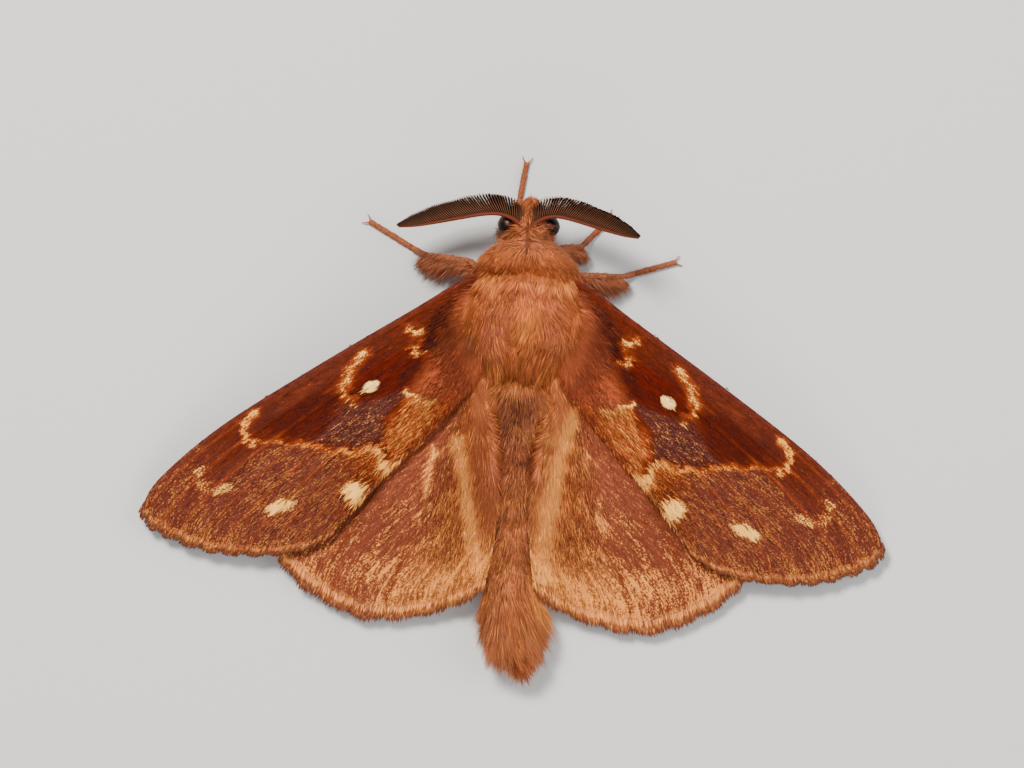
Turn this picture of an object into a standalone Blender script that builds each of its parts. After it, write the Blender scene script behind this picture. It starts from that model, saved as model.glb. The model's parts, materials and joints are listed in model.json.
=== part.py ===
"""Siberian silk moth: a male at rest with its wings spread, as a still, life-size model.

The moth stands on its six feet on the plane Z = 0. X runs to its right, Y towards its head and Z up.
Every size below is in millimetres in the moth's own plan, whose Y = 0 lies level with the white wing
spots. mesh_object turns them into metres and moves them, so that the origin is under the middle of the box.
"""

import math
import random

import bmesh
import bpy
import numpy as np
from mathutils import Vector

MM = 0.001
GAP = 0.3  # clearance between neighbouring nodes

# How far the moth reaches
WING_REACH = 30.1  # body axis to forewing tip
FRONT_REACH = 18.85  # left fore foot
TAIL_REACH = -23.4  # tip of the tail tuft
PLAN_CENTRE_Y = (FRONT_REACH + TAIL_REACH) / 2

# Wings
WING_THICKNESS = 0.5
VEIN_RISE = 0.18
LAYER_STEP = WING_THICKNESS + VEIN_RISE + GAP  # forewing above hindwing
HINGE = (3.5, 6.0)
HINGE_HEIGHT = 6.2
WING_FALL = 0.148  # drop for each millimetre away from the hinge
FOLD_RISE = 2.9  # the hindwing's inner edge lies over the abdomen's shoulder
FOLD_WIDTH = 3.0
SCALLOP = 0.14  # bulge of the outer edge between two veins
FORE_ROWS = 17
HIND_ROWS = 14

FORE_COSTA = [(3.2, 9.0), (4.9, 8.6), (8.8, 6.0), (16.4, 1.0), (23.8, -4.2), (28.6, -8.7), (WING_REACH, -11.5)]
FORE_OUTER = [(WING_REACH, -11.5), (28.6, -12.8), (24.6, -14.1), (20.2, -14.2), (16.8, -13.55), (14.4, -12.3)]
FORE_INNER = [(3.2, 3.2), (4.1, 0.2), (6.4, -3.0), (10.5, -7.5), (14.4, -12.3)]
FORE_BASE = [(3.2, 9.0), (2.9, 6.2), (3.2, 3.2)]
FORE_VEINS = (0.04, 0.13, 0.23, 0.34, 0.45, 0.56, 0.67, 0.79, 0.92)  # share of the chord at each vein
FORE_VEIN_STARTS = (0.0, 0.2, 0.12, 0.12, 0.42, 0.5, 0.44, 0.1, 0.1)  # share of the span where it begins

HIND_COSTA = [(3.0, 5.2), (8.0, 0.6), (13.5, -4.6), (17.8, -9.3), (19.2, -12.4)]
HIND_OUTER = [(19.2, -12.4), (18.0, -15.2), (14.9, -17.5), (11.4, -18.75), (7.6, -18.35), (4.4, -17.25), (1.9, -15.7)]
HIND_INNER = [(2.2, 1.9), (3.1, -0.6), (2.4, -3.8), (1.7, -7.0), (1.35, -11.3), (1.9, -15.7)]
HIND_BASE = [(3.0, 5.2), (2.4, 3.6), (2.2, 1.9)]
HIND_VEINS = (0.05, 0.18, 0.31, 0.44, 0.57, 0.7, 0.84)
HIND_VEIN_STARTS = (0.0, 0.1, 0.35, 0.4, 0.35, 0.1, 0.1)

# Body: place along Y, half width, top and bottom, and the shift of its middle in X
THORAX = [
    (11.95, 1.5, 6.8, 4.3, 0),
    (11.65, 2.4, 7.3, 3.6, 0),
    (11.1, 3.2, 7.75, 3.0, 0),
    (10.2, 4.0, 7.85, 2.4, 0),
    (9.3, 4.35, 7.5, 1.9, 0),
    (8.4, 4.5, 8.15, 1.6, 0),
    (6.8, 4.55, 8.7, 1.4, 0),
    (5.2, 4.5, 8.6, 1.4, 0),
    (3.8, 4.2, 8.05, 1.5, 0),
    (2.8, 3.5, 7.2, 1.9, 0),
    (2.2, 2.3, 6.2, 2.7, 0),
]
ABDOMEN = [
    (3.2, 2.0, 5.2, 1.8, 0),
    (0.0, 2.4, 5.35, 1.3, 0),
    (-4.0, 2.4, 5.2, 1.0, 0),
    (-8.0, 2.3, 4.85, 0.75, 0),
    (-12.0, 2.2, 4.55, 0.6, 0),
    (-15.5, 2.1, 4.15, 0.6, 0.1),
    (-18.2, 2.05, 3.85, 0.75, 0.3),
    (-20.2, 1.6, 3.4, 1.0, 0.5),
    (-21.4, 0.9, 2.7, 1.3, 0.7),
]
HEAD = [
    (14.35, 0.45, 5.0, 4.0, 0.1),
    (14.1, 0.8, 5.4, 3.6, 0.08),
    (13.5, 1.35, 6.05, 3.2, 0.03),
    (12.9, 1.7, 6.4, 3.1, 0),
    (12.2, 1.6, 6.3, 3.3, -0.05),
    (11.4, 1.2, 5.9, 3.7, -0.1),
]
EYE_CENTRE = (1.62, 13.15, 4.75)
EYE_RADIUS = 0.86
PALP_PATH = [(0.55, 13.6, 4.1), (0.6, 14.4, 4.35), (0.62, 15.0, 4.75), (0.55, 15.35, 5.0)]
PALP_RADII = [0.36, 0.43, 0.42, 0.24]

# Locks of the coat: place along Y, number, how far round from the top in degrees, length
LOCK_THICKNESS = 0.5
THORAX_COAT = [
    (11.6, 4, 58, 1.9),
    (10.2, 6, 62, 1.9),
    (8.7, 6, 60, 2.2),
    (7.2, 6, 58, 2.4),
    (5.7, 6, 56, 2.4),
    (4.3, 6, 58, 2.3),
]
# and a lean to the right for the abdomen's
ABDOMEN_COAT = [
    (-15.7, 8, 120, 2.6, 0.03),
    (-17.4, 8, 125, 2.8, 0.1),
    (-19.0, 8, 125, 2.8, 0.2),
    (-20.5, 6, 125, 2.8, 0.25),
]
BELLY_CLEARANCE = 0.55
WING_ROOT = 4.3
HIND_EDGE = 1.0
HIND_CORNER = -17.5

# Antennae
SHAFT_PLAN = [(0.45, 13.1), (1.3, 13.65), (2.4, 13.9), (3.7, 13.78), (5.4, 13.4), (7.1, 13.0), (8.8, 12.62), (10.2, 12.45)]
SHAFT_HEIGHTS = {-1: (5.9, 6.0, 6.0, 5.9, 5.8, 5.7, 5.55, 5.4), 1: (5.9, 6.1, 6.4, 6.8, 7.3, 7.8, 8.3, 8.7)}
SHAFT_REACH = {-1: 1.0, 1: 0.86}  # the right one points higher, so it looks shorter from above
SHAFT_RADIUS = 0.29
RAMUS_COUNT = 14
RAMUS_LENGTH = 2.05
RAMUS_ROOT = 0.5
RAMUS_TIP = 0.16
RAMUS_LEAN = math.radians(33)  # towards the shaft's tip
RAMUS_SPREAD = math.radians(27)  # each row above and below the shaft's plane

# Legs: hip, knee, ankle and two points of the foot, and how their hair fringe hangs
LEGS = {
    "foreleg_left": dict(path=[(-1.2, 10.4, 3.0), (-1.9, 12.2, 2.3), (-1.1, 14.2, 1.2), (-0.84, 15.4, 0), (-0.38, 18.85, 0)],
                         hair=(-0.9, -0.9, 0), hair_length=1.1),
    "foreleg_right": dict(path=[(1.4, 10.3, 3.0), (2.9, 11.6, 2.5), (4.3, 11.7, 1.3), (5.1, 12.65, 0), (6.97, 14.72, 0)],
                          hair=(0.35, -1.0, -0.15), hair_length=1.6),
    "midleg_left": dict(path=[(-2.2, 8.0, 2.6), (-4.6, 10.1, 2.6), (-8.2, 10.45, 1.2), (-9.3, 11.0, 0), (-13.3, 13.2, 0)],
                        hair=(-0.35, -1.0, -0.2), hair_length=2.1),
    "midleg_right": dict(path=[(2.2, 8.0, 2.6), (4.4, 9.45, 2.6), (7.6, 9.5, 1.2), (8.7, 9.85, 0), (12.5, 11.15, 0)],
                         hair=(0.35, -1.0, -0.2), hair_length=2.0),
    "hindleg_left": dict(path=[(-1.9, 4.2, 2.6), (-5.2, 1.2, 2.9), (-8.2, -4.2, 1.2), (-8.7, -5.4, 0), (-9.9, -9.6, 0)],
                         hair=(0.5, -1.0, -0.1), hair_length=1.5),
    "hindleg_right": dict(path=[(1.9, 4.2, 2.6), (5.2, 1.2, 2.9), (8.2, -4.2, 1.2), (8.7, -5.4, 0), (9.9, -9.6, 0)],
                          hair=(-0.5, -1.0, -0.1), hair_length=1.5),
}
FEMUR_RADIUS = 0.5
TIBIA_RADIUS = 0.42
TARSUS_RADIUS = 0.31
CLAW_LENGTH = 0.55
LEG_LOCKS = 5

COLOURS = {
    "fur": (0.42, 0.16, 0.05),
    "forewing": (0.24, 0.07, 0.025),
    "hindwing": (0.40, 0.17, 0.07),
    "eye": (0.012, 0.008, 0.006),
    "antenna": (0.13, 0.06, 0.03),
    "leg": (0.36, 0.14, 0.06),
}
ROUGHNESS = {"fur": 0.8, "forewing": 0.65, "hindwing": 0.7, "eye": 0.15, "antenna": 0.6, "leg": 0.75}


def clear_scene():
    for obj in list(bpy.data.objects):
        bpy.data.objects.remove(obj)


def material(name):
    found = bpy.data.materials.get(name)
    if found:
        return found
    made = bpy.data.materials.new(name)
    made.use_nodes = True
    shader = made.node_tree.nodes["Principled BSDF"]
    shader.inputs["Base Color"].default_value = (*COLOURS[name], 1)
    shader.inputs["Roughness"].default_value = ROUGHNESS[name]
    shader.inputs["Metallic"].default_value = 0
    return made


def mesh_object(name, points, faces, finish):
    """A mesh from points in millimetres in the moth's plan."""
    points = (np.asarray(points, float) - (0, PLAN_CENTRE_Y, 0)) * MM
    mesh = bpy.data.meshes.new(name)
    mesh.from_pydata([tuple(p) for p in points], [], faces)
    mesh.materials.append(material(finish))
    mesh.shade_smooth()
    mesh.set_sharp_from_angle(angle=math.radians(50))
    obj = bpy.data.objects.new(name, mesh)
    bpy.context.scene.collection.objects.link(obj)
    return obj


def curve_through(points, count):
    """Points evenly spaced along a smooth curve through the given ones."""
    p = np.asarray(points, float)
    p = np.vstack([2 * p[0] - p[1], p, 2 * p[-1] - p[-2]])
    fine = []
    for a, b, c, d in zip(p, p[1:], p[2:], p[3:]):
        for t in np.linspace(0, 1, 16, endpoint=False):
            fine.append(0.5 * (2 * b + (c - a) * t + (2 * a - 5 * b + 4 * c - d) * t**2 + (3 * b - a - 3 * c + d) * t**3))
    fine = np.array([*fine, p[-2]])
    along = np.concatenate([[0], np.cumsum(np.linalg.norm(np.diff(fine, axis=0), axis=1))])
    wanted = np.linspace(0, along[-1], count)
    return np.stack([np.interp(wanted, along, fine[:, k]) for k in range(fine.shape[1])], axis=1)


def tube_faces(rings, sides):
    """Quads between rings of points, and a fan of triangles at each end round a pole point."""
    faces = []
    for r in range(rings - 1):
        for k in range(sides):
            n = (k + 1) % sides
            faces.append((r * sides + k, r * sides + n, (r + 1) * sides + n, (r + 1) * sides + k))
    first, last = rings * sides, rings * sides + 1
    top = (rings - 1) * sides
    for k in range(sides):
        n = (k + 1) % sides
        faces.append((first, n, k))
        faces.append((last, top + k, top + n))
    return faces


def tube(name, path, radii, sides, finish, flatten=1.0, floor=None, roll=(0, 0, 1)):
    """A round or flattened closed tube along a path, with a pointed dome at each end."""
    path = np.asarray(path, float)
    radii = np.asarray(radii, float)
    ahead = np.gradient(path, axis=0)
    ahead /= np.linalg.norm(ahead, axis=1)[:, None]
    points = []
    for centre, direction, radius in zip(path, ahead, radii):
        across = np.cross(direction, roll)
        across /= np.linalg.norm(across)
        up = np.cross(across, direction)
        for k in range(sides):
            angle = 2 * math.pi * (k + 0.5) / sides
            points.append(centre + radius * (across * math.cos(angle) + up * flatten * math.sin(angle)))
    points.append(path[0] - ahead[0] * radii[0] * 0.5)
    points.append(path[-1] + ahead[-1] * radii[-1] * 0.5)
    points = np.array(points)
    if floor is not None:
        points[:, 2] = np.maximum(points[:, 2], floor)
    return mesh_object(name, points, outward(points, tube_faces(len(path), sides)), finish)


def outward(points, faces):
    """The faces, turned round if they enclose a negative volume."""
    points = np.asarray(points, float)
    volume = 0.0
    for face in faces:
        for k in range(1, len(face) - 1):
            volume += np.dot(points[face[0]], np.cross(points[face[k]], points[face[k + 1]]))
    return faces if volume > 0 else [tuple(reversed(face)) for face in faces]


def body_point(stations, y, angle, grow=0.0):
    """A point on a body form: angle is measured from the top, towards +X."""
    table = np.array(stations)[::-1]
    half, top, bottom, shift = (np.interp(y, table[:, 0], table[:, k]) for k in (1, 2, 3, 4))
    middle = (top + bottom) / 2
    return np.array([
        shift + (half + grow) * math.sin(angle),
        y,
        middle + ((top - bottom) / 2 + grow) * math.cos(angle),
    ])


def body_form(name, stations, finish, rings=16, sides=18):
    """A closed form through the stations, with a low dome at each end."""
    points = []
    for y, half, top, bottom, shift in curve_through(stations, rings):
        middle = (top + bottom) / 2
        for k in range(sides):
            angle = 2 * math.pi * k / sides
            points.append((shift + half * math.sin(angle), y, middle + (top - bottom) / 2 * math.cos(angle)))
    points = np.array(points)
    for ring, sign in ((0, 1), (rings - 1, -1)):
        pole = points[ring * sides:(ring + 1) * sides].mean(axis=0)
        pole[1] += sign * 0.25
        points = np.vstack([points, pole])
    return mesh_object(name, points, outward(points, tube_faces(rings, sides)), finish)


def lock(path, width, face_up, finish="fur"):
    """A flat, tapered lock of hair along four points, with a low ridge along its upper side."""
    widths = np.array([0.75, 1.0, 0.75, 0.25]) * width / 2
    depths = np.array([1.0, 1.0, 0.8, 0.4]) * LOCK_THICKNESS
    path = np.asarray(path, float)
    ahead = np.gradient(path, axis=0)
    points = []
    for centre, direction, half, depth in zip(path, ahead, widths, depths):
        across = np.cross(direction, face_up)
        across /= np.linalg.norm(across)
        up = np.cross(across, direction)
        up /= np.linalg.norm(up)
        points += [
            centre + across * half - up * depth * 0.35,
            centre + up * depth * 0.65,
            centre - across * half - up * depth * 0.35,
        ]
    points.append(path[0] - ahead[0] * 0.1)
    points.append(path[-1] + ahead[-1] * 0.25)
    return mesh_object("lock", points, outward(points, tube_faces(4, 3)), finish)


def applied(obj):
    """The object with its modifiers made real."""
    graph = bpy.context.evaluated_depsgraph_get()
    mesh = bpy.data.meshes.new_from_object(obj.evaluated_get(graph))
    obj.modifiers.clear()
    obj.data = mesh
    return obj


def fuse(core, pieces):
    """Joins the pieces to the core as one closed body."""
    bpy.context.view_layer.update()
    held = bpy.data.collections.new(core.name + "_pieces")
    for piece in pieces:
        held.objects.link(piece)
    join = core.modifiers.new("join", "BOOLEAN")
    join.operation = "UNION"
    join.operand_type = "COLLECTION"
    join.collection = held
    join.solver = "MANIFOLD"
    applied(core)
    for piece in pieces:
        bpy.data.objects.remove(piece)
    bpy.data.collections.remove(held)
    return keep_largest(core)


def cut(obj, *cutters):
    """Takes the cutters' volume out of the object. The cutters are removed later."""
    bpy.context.view_layer.update()
    for cutter in cutters:
        bite = obj.modifiers.new("cut", "BOOLEAN")
        bite.operation = "DIFFERENCE"
        bite.object = cutter
        bite.solver = "EXACT"
    return keep_largest(applied(obj))


def keep_largest(obj):
    """Drops all but the largest closed surface of the object."""
    bm = bmesh.new()
    bm.from_mesh(obj.data)
    left, groups = set(bm.faces), []
    while left:
        queue, group = [left.pop()], []
        while queue:
            face = queue.pop()
            group.append(face)
            for edge in face.edges:
                pair = edge.link_faces if len(edge.link_faces) == 2 else ()
                for other in pair:
                    if other in left:
                        left.remove(other)
                        queue.append(other)
        groups.append(group)
    groups.sort(key=lambda group: -sum(face.calc_area() for face in group))
    for group in groups[1:]:
        bmesh.ops.delete(bm, geom=group, context="FACES")
    bmesh.ops.triangulate(bm, faces=bm.faces)
    bm.to_mesh(obj.data)
    bm.free()
    return obj


def cutter(form):
    """Grows a form by the clearance and hides it, to be cut from the form's neighbours."""
    bm = bmesh.new()
    bm.from_mesh(form.data)
    bm.normal_update()
    shifts = [vert.normal * GAP * MM * vert.calc_shell_factor() for vert in bm.verts]
    for vert, shift in zip(bm.verts, shifts):
        vert.co += shift
    bm.to_mesh(form.data)
    bm.free()
    form.hide_render = True
    form.display_type = "WIRE"
    return form


def wing_height(x, y):
    """Height of the forewing's middle surface, before it's lowered for the hindwing."""
    away = math.hypot(abs(x) - HINGE[0], y - HINGE[1])
    behind = min(max((3.0 - y) / 4.0, 0.0), 1.0)
    fold = FOLD_RISE * math.exp(-((abs(x) / FOLD_WIDTH) ** 2)) * behind
    return HINGE_HEIGHT - WING_FALL * away + fold


def wing_plan(costa, outer, inner, base, rows, shares):
    """Plan points of a wing: rows from root to outer edge, columns at shares from the costa to the inner edge."""
    spans = np.linspace(0, 1, rows)
    front, back = curve_through(costa, rows), curve_through(inner, rows)
    fine = np.linspace(0, 1, 60)
    near = np.stack([np.interp(shares, fine, curve_through(base, 60)[:, k]) for k in (0, 1)], axis=1)
    far = np.stack([np.interp(shares, fine, curve_through(outer, 60)[:, k]) for k in (0, 1)], axis=1)
    grid = np.empty((rows, len(shares), 2))
    for i, s in enumerate(spans):
        for j, t in enumerate(shares):
            corners = (
                (1 - s) * ((1 - t) * front[0] + t * back[0]) + s * ((1 - t) * front[-1] + t * back[-1])
            )
            grid[i, j] = (1 - t) * front[i] + t * back[i] + (1 - s) * near[j] + s * far[j] - corners
    return grid


def wing_shares(veins):
    """Columns at every vein, halfway between neighbours, and at both edges."""
    edges = [0.0, *veins, 1.0]
    shares = [0.0]
    for a, b in zip(edges, edges[1:]):
        shares += [(a + b) / 2, b]
    return np.array(shares)


def wing(name, side, outline, veins, starts, rows, drop, finish):
    """A thin wing with its veins raised in its upper face, and the same triangles on both faces."""
    shares = wing_shares(veins)
    plan = wing_plan(*outline, rows, shares)
    columns = len(shares)
    ridge = {int(np.argmin(abs(shares - vein))): start for vein, start in zip(veins, starts)}
    upper, lower = [], []
    for i in range(rows):
        s = i / (rows - 1)
        for j in range(columns):
            x, y = plan[i, j]
            if i == rows - 1 and 0 < j < columns - 1:
                way = plan[i, j] - plan[i - 1, j]
                x, y = plan[i, j] + way / np.linalg.norm(way) * SCALLOP * (-1 if j in ridge else 1)
            z = wing_height(x, y) - drop
            edge = i == rows - 1 or j in (0, columns - 1)
            half = WING_THICKNESS / 2 * (0.55 if edge else 1)
            rise = VEIN_RISE if j in ridge and s >= ridge[j] and not edge else 0
            upper.append((side * x, y, z + half + rise))
            lower.append((side * x, y, z - half))
    count = rows * columns
    faces = []
    for i in range(rows - 1):
        for j in range(columns - 1):
            a, b, c, d = i * columns + j, i * columns + j + 1, (i + 1) * columns + j + 1, (i + 1) * columns + j
            for triangle in ((a, b, c), (a, c, d)):
                faces.append(triangle)
                faces.append(tuple(count + v for v in reversed(triangle)))
    rim = (
        [j for j in range(columns - 1)]
        + [i * columns + columns - 1 for i in range(rows - 1)]
        + [(rows - 1) * columns + j for j in range(columns - 1, 0, -1)]
        + [i * columns for i in range(rows - 1, 0, -1)]
    )
    for a, b in zip(rim, rim[1:] + rim[:1]):
        faces.append((b, a, count + a))
        faces.append((b, count + a, count + b))
    points = upper + lower
    return mesh_object(name, points, outward(points, faces), finish)


def over_wings(point):
    """The point, lifted where it would come too close to a wing that passes below it."""
    clear = wing_height(point[0], point[1]) + WING_THICKNESS / 2 + VEIN_RISE + GAP + LOCK_THICKNESS * 0.4
    if abs(point[0]) > WING_ROOT - 1.5:
        point[2] = max(point[2], clear)
    return point


def under_wings(point):
    """The point, lowered where it would come too close to a hindwing that passes above it."""
    clear = wing_height(point[0], point[1]) - LAYER_STEP - WING_THICKNESS / 2 - GAP - LOCK_THICKNESS * 0.7
    if abs(point[0]) > HIND_EDGE and point[1] > HIND_CORNER:
        point[2] = min(point[2], clear)
    return point


def thorax_locks(rng):
    """Overlapping locks from the collar to the rear of the thorax, lying backwards."""
    pieces = []
    for row, (y, count, reach, length) in enumerate(THORAX_COAT):
        for k in range(count):
            share = (k + 0.5) / count * 2 - 1
            angle = math.radians(reach * share)
            long = length * rng.uniform(0.92, 1.1)
            sway = math.radians(rng.uniform(-8, 8))
            path = []
            for t, lift in ((0, -0.25), (0.3, 0.02), (0.7, 0.12), (0.95, 0.12)):
                point = body_point(THORAX, y - long * t, angle + sway * t, lift)
                path.append(over_wings(point) if t else point)
            up = body_point(THORAX, y, angle, 1) - body_point(THORAX, y, angle)
            pieces.append(lock(path, rng.uniform(1.45, 1.75), up))
    return pieces


def thorax():
    return fuse(body_form("thorax", THORAX, "fur"), thorax_locks(random.Random(3)))


def abdomen_locks(rng):
    """Locks along the sides of the abdomen's rear half and the long tuft at its tip."""
    pieces = []
    for y, count, reach, length, lean in ABDOMEN_COAT:
        for k in range(count):
            share = (k + 0.5) / count * 2 - 1
            angle = math.radians(reach * share)
            long = length * rng.uniform(0.85, 1.1)
            path = []
            for t, lift in ((0, -0.25), (0.3, 0.05), (0.65, 0.18), (0.95, 0.2)):
                point = body_point(ABDOMEN, max(y - long * t, ABDOMEN[-1][0]), angle, lift)
                point += (lean * long * t * t, 0, 0)
                point[1] = y - long * t
                point[2] = max(point[2], BELLY_CLEARANCE)
                path.append(under_wings(point) if t else point)
            up = body_point(ABDOMEN, y, angle, 1) - body_point(ABDOMEN, y, angle)
            pieces.append(lock(path, rng.uniform(1.2, 1.5), up))
    return pieces


def abdomen(thorax_space):
    core = body_form("abdomen", ABDOMEN, "fur", rings=16, sides=16)
    return cut(fuse(core, abdomen_locks(random.Random(5))), thorax_space)


def ball(name, centre, radius, finish, rings=10, segments=14):
    points, faces = [], []
    for i in range(1, rings):
        polar = math.pi * i / rings
        for k in range(segments):
            turn = 2 * math.pi * k / segments
            points.append(np.array(centre) + radius * np.array(
                [math.cos(polar), math.sin(polar) * math.cos(turn), math.sin(polar) * math.sin(turn)]))
    points.append(np.array(centre) + (radius, 0, 0))
    points.append(np.array(centre) - (radius, 0, 0))
    faces = tube_faces(rings - 1, segments)
    return mesh_object(name, points, outward(points, faces), finish)


def eye_centre(side):
    return (side * EYE_CENTRE[0], EYE_CENTRE[1], EYE_CENTRE[2])


def head(thorax_space, eye_spaces):
    core = body_form("head", HEAD, "fur", rings=10, sides=16)
    return cut(core, thorax_space, *eye_spaces)


def palp(side, head_space):
    name = "palp_right" if side > 0 else "palp_left"
    path = [(side * x + 0.12, y, z) for x, y, z in PALP_PATH]
    path = curve_through(path, 7)
    radii = np.interp(np.linspace(0, 3, 7), range(4), PALP_RADII)
    return cut(tube(name, path, radii, 10, "fur"), head_space)


def antenna(side, *spaces):
    """A shaft with two rows of tapering side branches, the longest in the middle."""
    name = "antenna_right" if side > 0 else "antenna_left"
    reach = SHAFT_REACH[side]
    plan = [(side * (SHAFT_PLAN[0][0] + (x - SHAFT_PLAN[0][0]) * reach) - 0.15, y, z)
            for (x, y), z in zip(SHAFT_PLAN, SHAFT_HEIGHTS[side])]
    path = curve_through(plan, 16)
    radii = SHAFT_RADIUS * np.interp(np.linspace(0, 1, 16), (0, 0.08, 0.7, 1), (1.25, 1.0, 0.92, 0.5))
    shaft = tube(name, path, radii, 6, "antenna")
    branches = []
    fine = curve_through(plan, 200)
    for k in range(RAMUS_COUNT):
        u = (k + 1.0) / (RAMUS_COUNT + 0.3)
        root = fine[int(u * 199)]
        ahead = fine[min(int(u * 199) + 3, 199)] - fine[max(int(u * 199) - 3, 0)]
        ahead /= np.linalg.norm(ahead)
        forward = np.array([0, 1, 0]) - ahead * ahead[1]
        forward /= np.linalg.norm(forward)
        up = np.cross(forward, ahead) * (1 if side < 0 else -1)
        length = RAMUS_LENGTH * max(math.sin(math.pi * min(u + 0.06, 1) ** 0.85) ** 0.6, 0.3)
        for row in (-1, 1):
            out = forward * math.cos(RAMUS_SPREAD) + up * row * math.sin(RAMUS_SPREAD)
            way = out * math.cos(RAMUS_LEAN) + ahead * math.sin(RAMUS_LEAN)
            ends = [root, root + way * length * 0.55, root + way * length + ahead * 0.12]
            branches.append(tube("ramus", ends, np.array([RAMUS_ROOT, 0.65 * RAMUS_ROOT, RAMUS_TIP]) / 2, 3, "antenna"))
    return cut(fuse(shaft, branches), *spaces)


def leg(name, thorax_space):
    """Femur, tibia with its fringe of long hair, and a jointed foot that lies flat, with two claws."""
    spec = LEGS[name]
    hip, knee, ankle, toe_start, toe_end = (np.array(p, float) for p in spec["path"])
    along = (toe_end - toe_start) / np.linalg.norm(toe_end - toe_start)
    lift = np.array([0, 0, TARSUS_RADIUS * 0.92])
    toe_start, toe_end = toe_start + lift, toe_end + lift - along * CLAW_LENGTH
    limb = np.vstack([
        np.linspace(hip, knee, 3), np.linspace(knee, ankle, 4)[1:],
        np.linspace(ankle, toe_start, 2)[1:], np.linspace(toe_start, toe_end, 10)[1:],
    ])
    radii = [FEMUR_RADIUS] * 2 + [TIBIA_RADIUS * 1.1] + [TIBIA_RADIUS] * 2 + [TIBIA_RADIUS * 0.8, TARSUS_RADIUS]
    radii += [TARSUS_RADIUS * (1.0 if k % 2 else 0.86) for k in range(8)] + [TARSUS_RADIUS * 0.8]
    core = tube(name, limb, radii, 6, "leg", floor=0)
    pieces = []
    across = np.cross(along, (0, 0, 1))
    for sign in (-1, 1):
        root = toe_end - along * 0.15
        claw = [root, root + (along + across * 0.5 * sign) * CLAW_LENGTH * 0.65 + (0, 0, -0.02),
                root + (along * 1.25 + across * sign) * CLAW_LENGTH + (0, 0, -0.1)]
        pieces.append(tube("claw", claw, [0.18, 0.13, 0.06], 3, "leg", floor=0))
    rng = random.Random(round(abs(hip[1]) * 10))
    hang = np.array(spec["hair"], float)
    hang /= np.linalg.norm(hang)
    for k in range(LEG_LOCKS):
        share = (k + 0.5) / LEG_LOCKS
        root = knee * (1 - share) + ankle * share + (0, 0, 0.05)
        way = hang + (ankle - knee) / np.linalg.norm(ankle - knee) * (share - 0.35) * 0.7
        way /= np.linalg.norm(way)
        length = spec["hair_length"] * rng.uniform(0.85, 1.1) * (0.75 + 0.5 * math.sin(math.pi * share))
        path = [root + way * length * t + np.array([0, 0, -0.1 * t * length]) for t in (-0.06, 0.3, 0.65, 0.95)]
        pieces.append(lock(path, 1.1, (0, 0, 1), "leg"))
    return cut(fuse(core, pieces), thorax_space)


def main():
    clear_scene()
    thorax()
    thorax_space = cutter(body_form("thorax_space", THORAX, "fur"))
    head_space = cutter(body_form("head_space", HEAD, "fur", rings=10, sides=16))
    eye_spaces = []
    for side, name in ((-1, "eye_left"), (1, "eye_right")):
        ball(name, eye_centre(side), EYE_RADIUS, "eye")
        eye_spaces.append(cutter(ball(name + "_space", eye_centre(side), EYE_RADIUS, "eye")))
    head(thorax_space, eye_spaces)
    abdomen(thorax_space)
    fore = (FORE_COSTA, FORE_OUTER, FORE_INNER, FORE_BASE)
    hind = (HIND_COSTA, HIND_OUTER, HIND_INNER, HIND_BASE)
    for side, end, eye_space in ((-1, "left", eye_spaces[0]), (1, "right", eye_spaces[1])):
        palp(side, head_space)
        antenna(side, head_space, eye_space)
        front = wing("forewing_" + end, side, fore, FORE_VEINS, FORE_VEIN_STARTS, FORE_ROWS, 0, "forewing")
        back = wing("hindwing_" + end, side, hind, HIND_VEINS, HIND_VEIN_STARTS, HIND_ROWS, LAYER_STEP, "hindwing")
        cut(front, thorax_space)
        cut(back, thorax_space)
    for name in LEGS:
        leg(name, thorax_space)
    for space in (thorax_space, head_space, *eye_spaces):
        bpy.data.objects.remove(space)


main()
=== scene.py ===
"""Siberian silk moth: fur, wing scales, feathered antennae, eyes and legs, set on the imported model."""

import json
import math
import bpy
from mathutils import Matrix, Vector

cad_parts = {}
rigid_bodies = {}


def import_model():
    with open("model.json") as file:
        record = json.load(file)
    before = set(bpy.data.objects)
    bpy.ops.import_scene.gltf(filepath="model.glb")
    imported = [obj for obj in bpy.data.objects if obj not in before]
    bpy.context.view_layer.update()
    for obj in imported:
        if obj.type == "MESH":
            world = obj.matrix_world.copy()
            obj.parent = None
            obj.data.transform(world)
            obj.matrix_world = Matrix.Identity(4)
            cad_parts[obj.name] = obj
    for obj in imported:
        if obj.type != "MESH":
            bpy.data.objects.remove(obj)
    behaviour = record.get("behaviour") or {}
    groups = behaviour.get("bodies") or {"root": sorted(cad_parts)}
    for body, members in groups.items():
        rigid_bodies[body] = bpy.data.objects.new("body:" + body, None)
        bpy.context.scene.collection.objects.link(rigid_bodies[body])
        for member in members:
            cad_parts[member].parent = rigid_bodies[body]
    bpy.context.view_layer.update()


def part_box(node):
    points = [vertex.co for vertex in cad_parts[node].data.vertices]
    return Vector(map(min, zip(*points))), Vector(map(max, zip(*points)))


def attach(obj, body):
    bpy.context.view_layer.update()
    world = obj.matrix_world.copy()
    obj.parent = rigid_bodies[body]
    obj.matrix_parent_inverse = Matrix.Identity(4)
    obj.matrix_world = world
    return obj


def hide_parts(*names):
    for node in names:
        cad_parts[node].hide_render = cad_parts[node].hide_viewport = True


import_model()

from types import SimpleNamespace

import bpy
import numpy as np
from bpy.props import FloatProperty, FloatVectorProperty, IntProperty, PointerProperty
from mathutils import Vector

bl_info = {
    "name": "Silk Moth",
    "version": (1, 0, 0),
    "blender": (4, 5, 0),
    "location": "3D View > Sidebar > Moth",
    "description": "Builds a silk moth at rest: wings, coat, antennae, eyes, legs and a studio stage",
    "category": "Object",
}

MM = 0.001
SIDES = ((-1, "left"), (1, "right"))

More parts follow.
